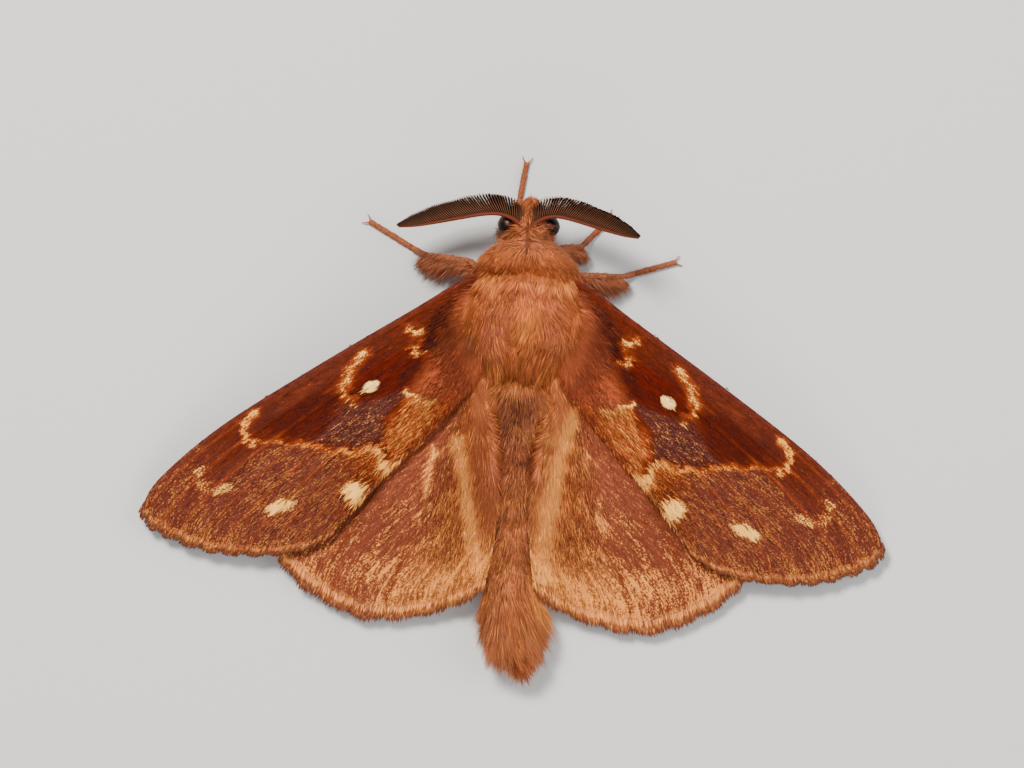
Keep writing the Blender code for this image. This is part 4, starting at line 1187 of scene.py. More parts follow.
def coat_colour(x, y, z, rng=None):
    """Colour of the coat at a place on the body, with painted highlights and painted shade."""
    tone = colours()
    flat = np.stack([x, y], axis=-1)
    base = np.ones((len(x), 3)) * tone["fur"]

    def lay(name, amount, gain=1.0):
        """Lays one of the named colours, times a gain, over the ground."""
        nonlocal base
        base = blend(base, tone[name] * gain, amount)

    # crown: a painted highlight on the top of the thorax
    crown = np.exp(-(((y - 4.9 - 0.5 * np.sin(x * 1.5)) / 1.4) ** 2) - ((x - 0.4) / 0.95) ** 2)
    mauve = tone["dark_fur_and_shade"] * (2.2, 3.4, 9.0) * (1 - 0.35 * soft(y, 5.8, 3.4)[:, None])
    # upper: painted highlights on the thorax's upper sides, which also lighten its flanks against their shade
    upper = np.exp(-(((y - 7.9) / 0.9) ** 2) - ((np.abs(x) - 2.9) / 1.7) ** 2)
    base = blend(base, mauve, np.exp(-(((y - 7.4) / 1.3) ** 2) - ((x - 0.3) / 1.3) ** 2) * 0.6)
    for side in (-1, 1):
        whorl = np.exp(-(((y - 5.0) / 1.7) ** 2) - ((x * side - 2.3) / 1.0) ** 2)
        base = blend(base, mauve, whorl * (0.72 + 0.28 * ripple(flat, 0.9, 26)))
    rims = soft(np.abs(x), 2.8, 4.3) * soft(y, 7.6, 6.2) * (0.25 + 0.4 * soft(y, 6.6, 5.0))
    lay("dark_fur_and_shade", rims, (1.2, 1.35, 2.2))
    # painted highlights on the thorax's crown and on its upper sides
    lay("pale_fur_and_highlight", 0.85 * crown)
    lay("pale_fur_and_highlight", 0.5 * upper * soft(ripple(flat, 0.8, 27), -0.2, 0.5))
    collar = soft(y, 9.2, 10.0)
    lay("fur", collar * soft(y, 10.0, 11.6) * 0.8, (0.57, 0.78, 1.3))
    seam = collar_seam(x)
    # painted shade along the collar's crease
    lay("dark_fur_and_shade", np.exp(-(((y - seam - 0.55) / 0.5) ** 2)) * 0.75 * soft(np.abs(x), 0.1, 0.7), 1.3)
    band = np.exp(-(((y - seam + 0.55) / 0.45) ** 2)) * (0.5 + 0.5 * soft(np.abs(x), 1.0, 3.0))
    lay("pale_fur_and_highlight", band * soft(ripple(flat, 1.0, 25), -0.6, 0.5) * soft(np.abs(x), 4.5, 3.5) * 0.5)
    past = np.where(y < 6.0, y - rear_edge(x), 9.0)
    # darker towards the thorax's rear edge: partly its dark rear hair, partly painted shade where the lobes
    # curve down
    lay("dark_fur_and_shade", soft(past, 1.9, 0.5) * 0.75, (1.15, 1.25, 1.8))
    belly = soft(past, 0.1, -0.4)
    base = blend(base, tone["belly"] * (1 - 0.28 * soft(y, -6.0, -1.0)[:, None]), belly)
    ruff = np.exp(-(((past + 0.35) / 0.6) ** 2)) * soft(np.abs(x), 2.4, 1.4)
    lay("fur", ruff * 0.9, (1.1, 1.25, 1.2))
    strip = soft(np.abs(x), 1.0, 2.0) * soft(y, 2.6, 1.6) * soft(y, -4.5, -1.5)
    lay("hind_pale", strip * 0.8, (0.75, 0.62, 0.72))
    lay("tail", soft(y, -4.0, -17.0) * 0.8, 0.92)
    lay("dark_fur_and_shade", soft(y, -19.8, -22.0) * 0.6)
    rings = 0.5 + 0.5 * np.cos(2 * math.pi * (y + 1.0) / 2.35)
    lay("dark_fur_and_shade", belly * soft(rings, 0.8, 1.0) * soft(y, -17.0, -14.0) * 0.3)
    lay("hind_pale", belly * soft(ripple(flat, 1.1, 21), 0.3, 0.8) * 0.25)
    lay("dark_fur_and_shade", soft(y, 12.2, 13.0) * 0.4)
    lay("belly", soft(z, 3.0, 1.5) * 0.5, 0.8)
    base = base * (1 + 0.24 * ripple(flat, 1.3, 22) + 0.2 * ripple(flat * (1.3, 0.5), 0.4, 23))[:, None]
    lay("dark_fur_and_shade", soft(ripple(flat, 1.7, 24), 0.0, 0.7) * 0.22 * (1 - crown), (1.2, 1.35, 2.2))
    if rng is not None:
        base = base * np.maximum(1 + rng.normal(0, 0.36, (len(x), 1)), 0.3)
        # random pale hairs: partly golden hairs, partly painted highlights on single hairs
        lay("pale_fur_and_highlight", rng.uniform(0, 1, len(x)) ** 3.5 * 0.9 * (1 - 0.55 * belly * soft(y, -8.0, -4.0)),
            1.15)
    return base


SKIN_FINE = skin_rings(400)


def skin_piece():
    """The body under the fur, from the face to the tail, in one skin."""
    rings = skin_rings(SKIN_RINGS)
    angles = np.linspace(0, 2 * math.pi, SKIN_SIDES, endpoint=False)
    y = np.repeat(rings[:, 0], SKIN_SIDES)
    angle = np.tile(angles, SKIN_RINGS)
    points, _, _ = skin_at(y, angle)
    grid = np.arange(SKIN_RINGS * SKIN_SIDES).reshape(SKIN_RINGS, SKIN_SIDES)
    ahead = np.roll(grid, -1, axis=1)
    quads = np.stack([grid[:-1], grid[1:], ahead[1:], ahead[:-1]], axis=-1).reshape(-1, 4).tolist()
    front, rear = len(points), len(points) + 1
    points = np.vstack([points, points[:SKIN_SIDES].mean(0) + (0, 0.1, 0), points[-SKIN_SIDES:].mean(0)
        - (0, 0.1, 0)])
    caps = [(front, grid[0, k], ahead[0, k]) for k in range(SKIN_SIDES)]
    caps += [(rear, ahead[-1, k], grid[-1, k]) for k in range(SKIN_SIDES)]
    x, y, z = points.T
    turn = np.append(angle, [0, 0]) / (2 * math.pi)
    values = {
        "colour": coat_colour(x, y, z),
        "flow": np.column_stack([y, np.append(angle, [0, 0]) * 3.0, np.zeros(len(y))]),
    }
    uv = body_uv(turn, y)
    nodes = ("thorax", "abdomen", "head")
    return piece("body_skin", points, quads + caps, skin_material(), nodes, uv, values)


def skin_roots(rng, count, span, weight):
    """Random roots on the skin between two places along it, thinned by a weight of y and angle."""
    y = rng.uniform(span[0], span[1], count * 4)
    angle = rng.uniform(-math.pi, math.pi, count * 4)
    keep = rng.uniform(0, 1, count * 4) < weight(y, angle)
    y, angle = y[keep][:count], angle[keep][:count]
    places, up, back = skin_at(y, angle)
    share = angle / (2 * math.pi) + 0.5
    return {
        "places": places - up * 0.05, "up": up, "back": back, "y": y, "angle": angle,
        "root_uv": root_spots(body_uv(share, y)),
        "reach": np.ones(len(y)), "breadth": np.ones(len(y)),
    }


def coloured(roots, length, rng):
    """Gives each tuft the coat's colour at the place that its middle covers."""
    middle = roots["places"] + roots["lie"] * (roots["reach"] * length * 0.55)[:, None]
    roots["colour"] = coat_colour(*middle.T, rng)
    return roots


def swirl(roots, size, seed):
    """Sideways sway that neighbouring tufts share, so that the fur parts into locks."""
    flat = np.column_stack([roots["angle"] * 3.5, roots["y"]])
    return ripple(flat, size, seed)


def thorax_coat(rng):
    """Thick fur of the thorax: swept back from the collar, over the wings and into two rear lobes."""
    roots = skin_roots(rng, sizes().thorax_tufts, (THORAX_END - 0.5, 12.25),
                       lambda y, a: 0.25 + 0.75 * soft(np.cos(a), -0.4, 0.3))
    x, y = roots["places"][:, 0], roots["y"]
    out, still = np.sign(x), 0 * x
    locks = swirl(roots, 0.8, 31) * 0.5 + swirl(roots, 2.2, 32) * 0.9 * soft(y, 9.0, 7.0)
    side = np.cross(roots["up"], roots["back"])
    flank = soft(np.abs(x), 1.5, 4.2)
    along = roots["back"] + side * locks[:, None]
    along = along + np.stack([out * flank * 0.5 * soft(y, 3.0, 6.0), still, still], axis=1)
    along = along + np.stack([-out * soft(y, 4.5, 2.5) * 0.45 * soft(np.abs(x), 0.3, 1.5), still, still],
        axis=1)
    collar = soft(y, 11.0, 12.0)
    along = along + np.stack([0.6 * out, 1.6 + still, still], axis=1) * collar[:, None]
    rear = soft(y, 3.6, 2.4)
    level = np.exp(-(((y - collar_seam(x) + 0.5) / 0.9) ** 2))
    stand = (
        0.3 + 0.2 * swirl(roots, 1.1, 33) + 0.1 * rear + 0.1 * flank - 0.2 * level
        + rng.normal(0, 0.07, len(x)))
    roots["lie"] = lean(along, roots["up"], np.clip(stand, 0.05, 0.6))
    over = (soft(y, 4.4, 3.0) * soft(np.cos(roots["angle"]), -0.1, 0.3))[:, None]
    drape = np.stack([0.3 * locks - out * 0.2 * flank, still - 1, -0.42 + 0.4 * stand], axis=1)
    roots["lie"] = unit(roots["lie"] * (1 - over) + unit(drape) * over)
    low = soft(np.cos(roots["angle"]), 0.1, -0.4)
    front = soft(y, 8.8, 10.0)
    length = (1 - 0.45 * front) * (1 - 0.35 * collar) * (1 - 0.4 * low) * (1 + 0.2 * swirl(roots, 0.6, 34))
    flare = soft(np.abs(x), 3.0, 4.0) * soft(y, 3.4, 4.4) * soft(y, 8.5, 7.5)
    roots["reach"] = length * (1 + 0.45 * flare)
    gap = y - rear_edge(x + 0.6 * roots["lie"][:, 0]) + 0.15 * np.exp(-((x - 0.25) / 0.5) ** 2)
    stray = soft(np.abs(x), 1.0, 2.4) * rng.uniform(0, 1, len(x)) ** 2 * 2.2
    fit = (np.clip(gap * rng.uniform(0.85, 1.12, len(x)), 0.5, 2.4) + stray) / sizes().thorax_hair
    roots["reach"] = roots["reach"] * (1 - over[:, 0]) + fit * over[:, 0]
    roots["breadth"] = 1 - 0.2 * front
    return coloured(roots, sizes().thorax_hair, rng)


def abdomen_coat(rng):
    """Fur of the abdomen: it lies back, widens towards the rear and ends in a blunt tail tuft."""
    roots = skin_roots(rng, sizes().abdomen_tufts, (-21.1, THORAX_END),
                       lambda y, a: (0.3 + 0.7 * soft(np.cos(a), -0.6, 0.3))
                       * (0.75 + 0.25 * soft(y, -13.0, -16.0)))
    x, y = roots["places"][:, 0], roots["y"]
    out, still = np.sign(np.sin(roots["angle"])), 0 * x
    locks = swirl(roots, 0.7, 41) * 0.4 + swirl(roots, 1.7, 42) * 0.25
    side = np.cross(roots["up"], roots["back"])
    rear = soft(y, -13.0, -16.5)
    front = soft(y, -2.5, 0.8)
    middle = soft(y, -13.5, -11.0) * soft(y, -0.6, -2.6)
    flank = np.abs(np.sin(roots["angle"]))
    spread = flank * (0.24 * rear * soft(y, -21.0, -18.5) + 0.6 * front + 0.5 * middle)
    along = roots["back"] + side * locks[:, None] + np.stack([out * spread, still, still], axis=1)
    close = np.stack([(0.75 - x) * 0.32, still, still], axis=1) * soft(y, -18.8, -20.8)[:, None]
    along = along + close + np.stack([0.12 * rear, still, still], axis=1)
    risen = soft(y, 0.0, 1.6)
    stand = (
        0.2 + 0.14 * rear + 0.5 * front * flank + 0.4 * risen * (1 - flank) + 0.35 * middle * flank + 0.12
        * swirl(roots, 1.0, 43))
    stand = stand + rng.normal(0, 0.07, len(x))
    low = soft(np.cos(roots["angle"]), 0.1, -0.5)
    roots["lie"] = lean(along, roots["up"], np.clip(stand * (1 - 0.75 * low), 0.02, 0.8))
    tail = sizes().tail_hair / sizes().abdomen_hair
    length = (
        0.75 + (tail - 0.75) * soft(y, -13.8, -17.0) * (1 - 0.12 * soft(y, -18.5, -21.0)) + 0.75 * front
        + 0.55 * middle * flank)
    lock = (
        soft(y, -13.5, -14.5) * soft(y, -17.2, -16.2) * soft(np.sin(roots["angle"]), 0.6, 0.9)
        * (1 - 0.5 * low))
    roots["reach"] = length * (1 - 0.3 * low) * (1 + 0.15 * swirl(roots, 0.5, 44)) * (1 + 0.3 * lock)
    coloured(roots, sizes().abdomen_hair, rng)
    roots["colour"] = blend(roots["colour"], colours()["hind_pale"] * 1.1, 0.8 * lock)
    return roots


def head_coat(rng):
    """Fur of the head: a tuft that juts forward over the face, and a ruff round the eyes."""
    roots = skin_roots(rng, sizes().head_tufts, (11.9, 14.35), lambda y, a: 0.4 + 0.6 * soft(y, 12.2, 13.2))
    x, y = roots["places"][:, 0], roots["y"]
    out, still = np.sign(x), 0 * x
    forward = soft(y, 12.5, 13.4)
    along = roots["back"] * (1 - 2.2 * forward)[:, None]
    along = along + np.stack([1.0 * out * (1 - forward) - 0.25 * x * forward, still, -0.15 * forward], axis=1)
    side = np.cross(roots["up"], roots["back"])
    along = along + side * (swirl(roots, 0.5, 51) * 0.4)[:, None]
    roots["lie"] = lean(along, roots["up"], 0.5 + 0.2 * swirl(roots, 0.4, 52))
    roots["reach"] = 0.85 + 0.5 * soft(y, 13.4, 14.2) + 0.5 * (1 - forward) * soft(np.abs(x), 0.8, 1.3)
    roots["breadth"] = np.full(len(x), 0.8)
    return coloured(roots, sizes().face_hair, rng)


def tube_piece_data(path, radii, sides, floor=None):
    """Points, faces and shares along a closed round tube."""
    path = np.asarray(path, float)
    radii = np.asarray(radii, float)
    ahead = unit(np.gradient(path, axis=0))
    across = unit(np.cross(ahead, (0, 0, 1)))
    up = np.cross(across, ahead)
    angles = 2 * math.pi * (np.arange(sides) + 0.5) / sides
    ring = across[:, None] * np.cos(angles)[None, :, None] + up[:, None] * np.sin(angles)[None, :, None]
    points = (path[:, None] + ring * radii[:, None, None]).reshape(-1, 3)
    points = np.vstack([points, path[0] - ahead[0] * radii[0] * 0.6, path[-1] + ahead[-1] * radii[-1] * 0.6])
    if floor is not None:
        points[:, 2] = np.maximum(points[:, 2], floor)
    rings = len(path)
    grid = np.arange(rings * sides).reshape(rings, sides)
    near = np.roll(grid, -1, axis=1)
    faces = np.stack([grid[:-1], grid[1:], near[1:], near[:-1]], axis=-1).reshape(-1, 4).tolist()
    first, last = rings * sides, rings * sides + 1
    faces += [(first, grid[0, k], near[0, k]) for k in range(sides)]
    faces += [(last, near[-1, k], grid[-1, k]) for k in range(sides)]
    along = np.append(np.repeat(np.linspace(0, 1, rings), sides), [0, 1])
    return points, faces, along


def join_data(parts):
    """Several meshes' points, faces and shares as one."""
    points, faces, along, start = [], [], [], 0
    for p, f, a in parts:
        points.append(p)
        faces += [tuple(v + start for v in face) for face in f]
        along.append(a)
        start += len(p)
    return np.vstack(points), faces, np.concatenate(along)


def shaft_path(side, count):
    """Points along an antenna's shaft."""
    root = SHAFT_PLAN[0][0]
    plan = [(side * (root + (x - root) * SHAFT_REACH[side]) - 0.15, y, z)
            for (x, y), z in zip(SHAFT_PLAN, SHAFT_HEIGHTS[side])]
    return curve_through(plan, count)


def antenna_pieces(side, end, blades, fine, shaft_finish, branch_finish):
    """A ringed shaft and its two rows of fine branches."""
    size = sizes()
    path = shaft_path(side, 300)
    share = np.linspace(0, 1, 300)
    rings = 1 + 0.08 * np.abs(np.sin(share * size.branches * math.pi))
    radii = size.shaft_radius * np.interp(share, (0, 0.05, 0.12, 0.7, 1), (1.6, 1.3, 1.0, 0.8, 0.35)) * rings
    points, faces, along = tube_piece_data(path, radii, 12)
    uv = np.column_stack([along, np.full(len(along), 0.5)])
    piece("antenna_shaft_" + end, points, faces, shaft_finish, ("antenna_" + end,), uv,
        {"along": along})
    rng = np.random.default_rng(60 + side)
    rows = {key: [] for key in ("places", "lie", "up", "reach")}
    stations = np.arange(300)
    for k in range(size.branches * 2):
        row = 1 if k % 2 else -1
        u = ((k + 2.0) / (size.branches * 2 + 2)) ** 1.12
        at = int(u * 299)
        ahead = unit(path[min(at + 6, 299)] - path[max(at - 6, 0)])
        forward = unit(np.array([0, 1, 0]) - ahead * ahead[1])
        up = np.cross(forward, ahead) * (1 if side < 0 else -1)
        out = forward * math.cos(RAMUS_SPREAD) + up * row * math.sin(RAMUS_SPREAD)
        way = out * math.cos(RAMUS_LEAN) + ahead * math.sin(RAMUS_LEAN) + rng.normal(0, 0.004, 3)
        rows["places"].append([np.interp(u * 299, stations, path[:, c]) for c in range(3)])
        rows["lie"].append(unit(way))
        rows["up"].append(unit(up))
        rows["reach"].append(np.interp(u, (0, 0.08, 0.3, 0.6, 0.82, 1), (0.65, 0.88, 1.0, 0.88, 0.58, 0.14)))
    roots = {key: np.array(value) for key, value in rows.items()}
    count = len(roots["places"])
    roots["breadth"] = np.where(np.arange(count) % 2, 0.7, 1.6)
    # painted light: the upper row of branches takes a lighter colour than the lower, as if lit from above
    upper = (np.arange(count) % 2)[:, None]
    roots["colour"] = colours()["horn"] * (1 - upper) + colours()["horn_lit"] * upper
    roots["root_uv"] = np.column_stack([np.linspace(0.02, 0.98, count), np.full(count, 0.3), np.zeros(count)])
    grow("antenna_comb_" + end, roots, branch_finish, "antennae", blades, size.ramus_length, 0.105, 0.015, 5)
    down = branch_down(roots, size.ramus_length, rng)
    grow("antenna_down_" + end, down, branch_finish, "antennae", fine, 0.13, 0.04, 0.2, 6)


def branch_down(roots, length, rng):
    """Roots of the fine down that stands to both sides of every branch of an antenna."""
    count = 20
    share = np.tile(np.linspace(0.06, 0.98, count), len(roots["places"]) * 2)
    pick = {key: np.repeat(rows, count * 2, axis=0) for key, rows in roots.items()}
    hand = np.tile(np.repeat([-1.0, 1.0], count), len(roots["places"]))[:, None]
    across = np.cross(pick["lie"], pick["up"]) * hand
    pick["places"] = pick["places"] + pick["lie"] * (share * pick["reach"] * length)[:, None] + across * 0.03
    pick["lie"] = unit(across + pick["lie"] * 0.7 + rng.normal(0, 0.12, across.shape))
    pick["reach"] = 0.6 + 0.4 * np.sin(math.pi * share)
    pick["breadth"] = np.ones(len(share))
    pick["colour"] = np.ones((len(share), 3)) * colours()["horn"] * (1 + rng.normal(0, 0.15, (len(share), 1)))
    return pick


def leg_path(spec):
    """A leg's joints, with the foot raised to stand on the floor, and the foot's direction."""
    hip, knee, ankle, toe_start, toe_end = (np.array(p, float) for p in spec["path"])
    along = unit(toe_end - toe_start)
    lift = np.array([0, 0, TARSUS_RADIUS * 0.95])
    return hip, knee, ankle, toe_start + lift, toe_end + lift - along * CLAW_LENGTH, along


def leg_pieces(name, spec, blades, horn, hair):
    """Femur, tibia and a five-jointed foot with claws, and the hair that fringes them."""
    hip, knee, ankle, toe_start, toe_end, along = leg_path(spec)
    bones = [
        (hip, knee, (0.4, 1.0, 0.85), FEMUR_RADIUS),
        (knee, ankle, (0.85, 1.0, 0.7), TIBIA_RADIUS),
    ]
    parts = []
    for a, b, swell, radius in bones:
        path = a + (b - a) * np.linspace(0, 1, 24)[:, None]
        parts.append(tube_piece_data(path, radius * np.interp(np.linspace(0, 1, 24), (0, 0.4, 1), swell),
            14, 0.0))
    stops = np.concatenate([[0], np.cumsum((0.34, 0.2, 0.17, 0.14, 0.15))])
    first = [(ankle, toe_start)] + [
        (toe_start + (toe_end - toe_start) * u, toe_start + (toe_end - toe_start) * v) for u,
        v in zip(stops, stops[1:])]
    for a, b in first:
        path = a + (b - a) * np.linspace(0, 1, 10)[:, None]
        waist = np.interp(np.linspace(0, 1, 10), (0, 0.2, 0.8, 1), (0.72, 0.85, 1.0, 0.9))
        parts.append(tube_piece_data(path, TARSUS_RADIUS * waist, 12, 0.0))
    across = np.cross(along, (0, 0, 1))
    for sign in (-1, 1):
        root = toe_end - along * 0.1
        bends = [root + (along * u + across * sign * v) * CLAW_LENGTH + np.array([0, 0, w])
                 for u, v, w in ((0, 0, 0), (0.4, 0.3, 0.06), (0.85, 0.65, 0.02), (1.2, 0.75, -0.14))]
        path = curve_through(bends, 12)
        parts.append(tube_piece_data(path, np.linspace(0.09, 0.02, 12), 8, 0.0))
    points, faces, share = join_data(parts)
    uv = np.column_stack([share, np.full(len(share), 0.5)])
    piece(name + "_limb", points, faces, horn, (name,), uv, {"along": share})
    rng = np.random.default_rng(int(abs(hip[1]) * 10) + (7 if hip[0] > 0 else 0))
    hang = unit(np.array(spec["hang"], float))
    rows = {key: [] for key in ("places", "lie", "up", "reach", "breadth")}

    def sprout(count, a, b, radius, reach, hanging, flat):
        for _ in range(count):
            u = rng.uniform(0, 1)
            way = unit(b - a)
            out = unit(np.cross(way, rng.normal(0, 1, 3)))
            pull = out * (1 - hanging) + hang * hanging + way * rng.uniform(0.25, 0.7) * flat
            rows["places"].append(a + (b - a) * u + out * radius * 0.8)
            rows["lie"].append(unit(pull + rng.normal(0, 0.12, 3)))
            rows["up"].append(unit(out + (0, 0, 0.5)))
            rows["reach"].append(reach * rng.uniform(0.45, 1.2)
                * (0.7 + 0.5 * math.sin(math.pi * min(u + 0.1, 1))))
            rows["breadth"].append(1.0)
    sprout(1000, knee, ankle, TIBIA_RADIUS * 0.5, spec["fringe"] * 1.1, 0.94, 1.3)
    sprout(320, knee + (hip - knee) * 0.3, knee, FEMUR_RADIUS * 0.7, spec["fringe"] * 0.7, 0.75, 1.2)
    sprout(450, knee, ankle, TIBIA_RADIUS, 0.35, 0.05, 6.0)
    sprout(70, ankle, toe_start, TARSUS_RADIUS, 0.24, 0.0, 6.0)
    sprout(240, toe_start, toe_end, TARSUS_RADIUS, 0.24, 0.0, 6.0)
    roots = {key: np.array(value) for key, value in rows.items()}
    roots["places"][:, 2] = np.maximum(roots["places"][:, 2], 0.08)
    low = roots["places"][:, 2] + roots["lie"][:, 2] * roots["reach"] < 0.1
    roots["lie"][low, 2] = 0.05
    roots["lie"] = unit(roots["lie"])
    count = len(roots["reach"])
    roots["colour"] = colours()["leg"] * (1 + rng.normal(0, 0.18, (count, 1)))
    roots["root_uv"] = np.column_stack([rng.uniform(0, 1, count), rng.uniform(0, 1, count), np.zeros(count)])
    grow(name + "_hair", roots, hair, "legs", blades, 1.0, sizes().hair_width * 0.8, 0.2, 9)


def palp_pieces(side, end, blades, finish):
    """A snout palp: a short stem clothed in forward-lying hair."""
    path = curve_through([(side * 0.5 + 0.12, 13.6, 4.1), (side * 0.5 + 0.12, 14.4, 4.35),
                          (side * 0.42 + 0.12, 15.0, 4.75), (side * 0.3 + 0.12, 15.2, 4.9)], 40)
    radii = 0.27 * np.interp(np.linspace(0, 1, 40), (0, 0.4, 0.8, 1), (0.8, 1.0, 0.9, 0.4))
    points, faces, along = tube_piece_data(path, radii, 14)
    tone = colours()
    uv = np.column_stack([along, np.full(len(along), 0.5)])
    values = {"along": along * 0.3, "colour": np.ones((len(along), 3)) * tone["dark_fur_and_shade"]}
    piece("palp_stem_" + end, points, faces, finish, ("palp_" + end,), uv, values)
    rng = np.random.default_rng(80 + side)
    count = 750
    at = rng.integers(2, 39, count)
    ahead = unit(np.gradient(path, axis=0))[at]
    out = unit(np.cross(ahead, rng.normal(0, 1, (count, 3))))
    roots = {
        "places": path[at] + out * radii[at][:, None] * 0.85,
        "lie": lean(ahead - (0.6 * side, 0, 0.1), out, rng.uniform(0.05, 0.3, count)),
        "up": out,
        "colour": tone["fur"] * (1 + rng.normal(0, 0.18, (count, 1))),
        "root_uv": np.column_stack([at / 40, rng.uniform(0, 1, count), np.zeros(count)]),
        "reach": rng.uniform(0.7, 1.1, count) * (1 - 0.55 * (at / 39) ** 2),
        "breadth": np.full(count, 0.7),
    }
    grow("palp_hair_" + end, roots, finish, "palps", blades, 0.62, sizes().hair_width, 0.2, 3)


class MOTH_OT_stage(bpy.types.Operator):
    """Lays the pale floor, the soft lights and the camera of the photograph's view"""

    bl_idname = "moth.stage"
    bl_label = "Stage"

    def execute(self, context):
        floor = bpy.data.meshes.new("floor")
        corners = [(x * FLOOR_HALF, y * FLOOR_HALF, 0) for x, y in ((-1, -1), (1, -1), (1, 1), (-1, 1))]
        floor.from_pydata(corners, [], [(0, 1, 2, 3)])
        made, _, shader = material("floor", Roughness=0.9)
        shader.inputs["Base Color"].default_value = FLOOR_COLOUR
        floor.materials.append(made)
        ground = bpy.data.objects.new("floor", floor)
        context.scene.collection.objects.link(ground)
        for name, place, power, wide, tint in LIGHTS:
            light = bpy.data.lights.new(name, "AREA")
            light.energy = power
            light.size = wide
            light.color = tint
            lamp = bpy.data.objects.new(name, light)
            lamp.location = place
            lamp.rotation_euler = (-Vector(place)).to_track_quat("-Z", "Y").to_euler()
            context.scene.collection.objects.link(lamp)
        world = bpy.data.worlds.new("studio")
        world.use_nodes = True
        sky = world.node_tree.nodes["Background"]
        sky.inputs["Color"].default_value = SKY_COLOUR
        sky.inputs["Strength"].default_value = SKY_STRENGTH
        context.scene.world = world
        lens = bpy.data.cameras.new("camera")
        lens.sensor_width = SENSOR
        lens.lens = SENSOR * CAMERA_HEIGHT / VIEW_WIDTH
        lens.clip_start = 0.01
        camera = bpy.data.objects.new("camera", lens)
        camera.location = (VIEW_CENTRE[0] * MM, (VIEW_CENTRE[1] + PLAN_SHIFT) * MM,
            (CAMERA_HEIGHT + VIEW_LEVEL) * MM)
        camera.rotation_euler = (0, 0, VIEW_ROLL)
        context.scene.collection.objects.link(camera)
        context.scene.camera = camera
        return {"FINISHED"}


class MOTH_OT_wings(bpy.types.Operator):
    """Makes the four wings with their markings, fringes and root hair"""

    bl_idname = "moth.wings"
    bl_label = "Wings"

    def execute(self, context):
        size = sizes()
        scales = scale_material("wing_scales")
        hair = fur_material("wing_hair", root=0.45, rise=0.6)
        fine = blade_set("wing_blades", ((0.03, 0.08), (0.05, -0.08), (0.02, 0.03)), (1, 1, 2))
        broad = blade_set("fringe_blades", ((0.0, 0.05), (-0.03, -0.05), (0.02, 0.0)), (2,), 0.2)
        for side, end in SIDES:
            rng = np.random.default_rng(100 + side)
            form = wing_piece("forewing_scales_" + end, side, FOREWING, forewing_paint, scales,
                "forewing_" + end)
            roots = fringe_roots(form, side, rng, 120)
            grow("forewing_fringe_" + end, roots, hair, "forewing_scales", broad, FOREWING["fringe"]
                * 1.35, 0.13, 0.15, 2)
            roots = forewing_hair(form, side, rng)
            grow("forewing_hair_" + end, roots, hair, "forewing_scales", fine, size.wing_hair,
                size.hair_width, 0.3, 4)
            form = wing_piece("hindwing_scales_" + end, side, HINDWING, hindwing_paint, scales,
                "hindwing_" + end)
            roots = fringe_roots(form, side, rng, 120)
            grow("hindwing_fringe_" + end, roots, hair, "hindwing_scales", broad, HINDWING["fringe"] * 1.4,
                0.13, 0.3, 6)
            roots = hindwing_hair(form, side, rng)
            grow("hindwing_hair_" + end, roots, hair, "hindwing_scales", fine, size.wing_hair,
                size.hair_width, 0.3, 8)
        drop(fine)
        drop(broad)
        return {"FINISHED"}


class MOTH_OT_body(bpy.types.Operator):
    """Makes the skin of the head, thorax and abdomen, and the fur that covers it"""

    bl_idname = "moth.body"
    bl_label = "Body"

    def execute(self, context):
        size = sizes()
        skin_piece()
        fur = fur_material("body_fur")
        blades = blade_set("fur_blades",
            ((0.1, 0.12), (0.06, -0.12), (0.14, 0.04), (0.0, -0.05), (0.05, 0.2), (0.08, -0.2)), (1, 1, 2))
        grow_parts("thorax_fur", thorax_coat(np.random.default_rng(11)), 2, fur, "thorax_fur", blades,
            size.thorax_hair, size.hair_width, 0.3, 1)
        grow_parts("abdomen_fur", abdomen_coat(np.random.default_rng(12)), 2, fur, "abdomen_fur", blades,
            size.abdomen_hair, size.hair_width, 0.3, 2)
        grow("head_fur", head_coat(np.random.default_rng(13)), fur, "head_fur", blades, size.face_hair,
            size.hair_width, 0.3, 3)
        for side, end in SIDES:
            palp_pieces(side, end, blades, fur)
        drop(blades)
        return {"FINISHED"}


class MOTH_OT_antennae(bpy.types.Operator):
    """Makes the two feathered antennae"""

    bl_idname = "moth.antennae"
    bl_label = "Antennae"

    def execute(self, context):
        tone = colours()
        shaft = horn_material("antenna_shaft", tuple(tone["shaft"]), 58)
        branch = fur_material("antenna_branch", 0.85, 0.85, -0.65, 0.01)
        blades = blade_set("ramus_blades", ((0.0, 0.08), (0.02, 0.06), (-0.02, 0.1)), (5,), 0.06)
        fine = blade_set("down_blades", ((0.0, 0.1), (0.1, -0.1)), (1,))
        for side, end in SIDES:
            antenna_pieces(side, end, blades, fine, shaft, branch)
        drop(blades)
        drop(fine)
        return {"FINISHED"}


class MOTH_OT_legs(bpy.types.Operator):
    """Makes the six legs with their hair and claws"""

    bl_idname = "moth.legs"
    bl_label = "Legs"

    def execute(self, context):
        horn = horn_material("leg_horn", tuple(colours()["leg"]), 9)
        hair = fur_material("leg_hair")
        blades = blade_set("leg_blades", ((0.05, 0.1), (0.03, -0.1), (0.08, 0.0)))
        for name, spec in LEGS.items():
            leg_pieces(name, spec, blades, horn, hair)
        drop(blades)
        return {"FINISHED"}


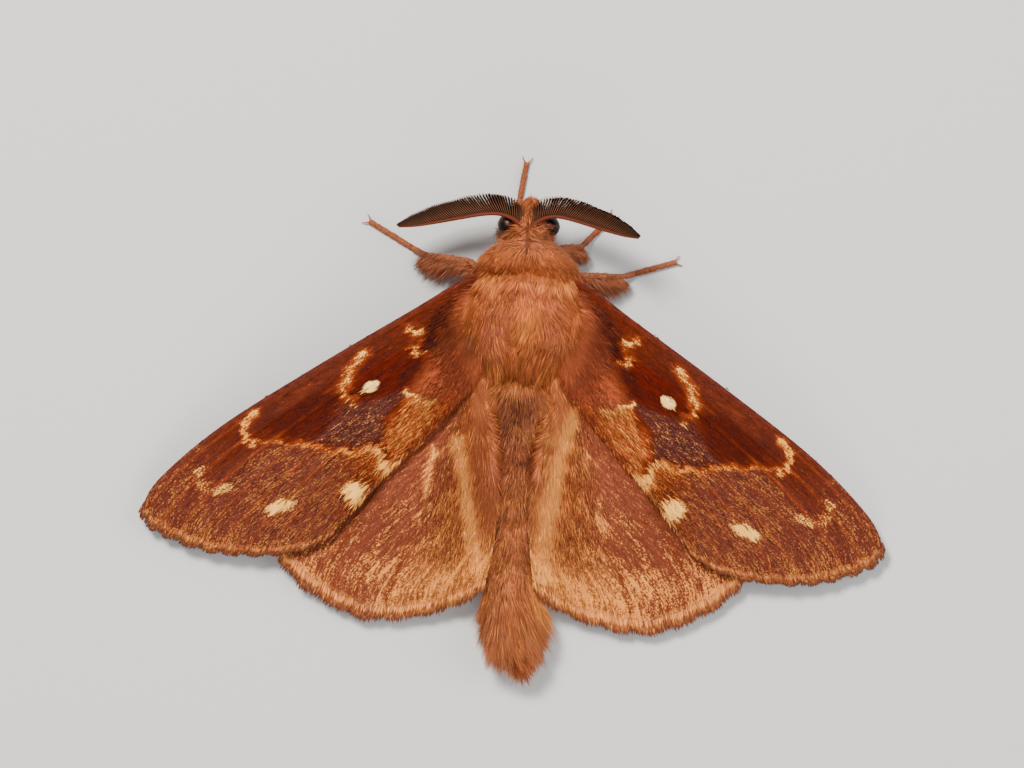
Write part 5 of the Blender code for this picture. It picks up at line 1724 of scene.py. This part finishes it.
class MOTH_OT_eyes(bpy.types.Operator):
    """Makes the two round compound eyes"""

    bl_idname = "moth.eyes"
    bl_label = "Eyes"

    def execute(self, context):
        finish = eye_material()
        for side, end in SIDES:
            centre = np.array([side * EYE_PLACE[0], EYE_PLACE[1], EYE_PLACE[2]])
            turn = np.linspace(0, math.pi, 34)[1:-1]
            path = centre + np.stack([-side * EYE_RADIUS * np.cos(turn), 0 * turn, 0 * turn], axis=1)
            points, faces, along = tube_piece_data(path, EYE_RADIUS * np.sin(turn), 48)
            uv = np.column_stack([along, np.full(len(along), 0.5)])
            piece("eye_ball_" + end, points, faces, finish, ("eye_" + end,), uv, {"along": along})
        return {"FINISHED"}


class MOTH_PT_panel(bpy.types.Panel):
    """Sidebar panel with the moth's builders, sizes and colours"""

    bl_idname = "MOTH_PT_panel"
    bl_label = "Silk Moth"
    bl_space_type = "VIEW_3D"
    bl_region_type = "UI"
    bl_category = "Moth"

    def draw(self, context):
        for step in STEPS:
            self.layout.operator(step.bl_idname)
        for group in (context.scene.moth_sizes, context.scene.moth_colours):
            box = self.layout.box()
            for key in type(group).__annotations__:
                box.prop(group, key)


STEPS = (MOTH_OT_stage, MOTH_OT_wings, MOTH_OT_body, MOTH_OT_antennae, MOTH_OT_legs, MOTH_OT_eyes)
CLASSES = (MothColours, MothSizes, *STEPS, MOTH_PT_panel)


def register():
    """Registers the add-on's classes and its settings on the scene."""
    for cls in CLASSES:
        bpy.utils.register_class(cls)
    bpy.types.Scene.moth_colours = PointerProperty(type=MothColours)
    bpy.types.Scene.moth_sizes = PointerProperty(type=MothSizes)


def unregister():
    """Takes the add-on's settings and classes out again."""
    del bpy.types.Scene.moth_sizes
    del bpy.types.Scene.moth_colours
    for cls in reversed(CLASSES):
        bpy.utils.unregister_class(cls)


def main():
    """Builds the whole moth."""
    register()
    bpy.ops.moth.stage()
    bpy.ops.moth.wings()
    bpy.ops.moth.body()
    bpy.ops.moth.antennae()
    bpy.ops.moth.legs()
    bpy.ops.moth.eyes()


if __name__ == "__main__":
    main()
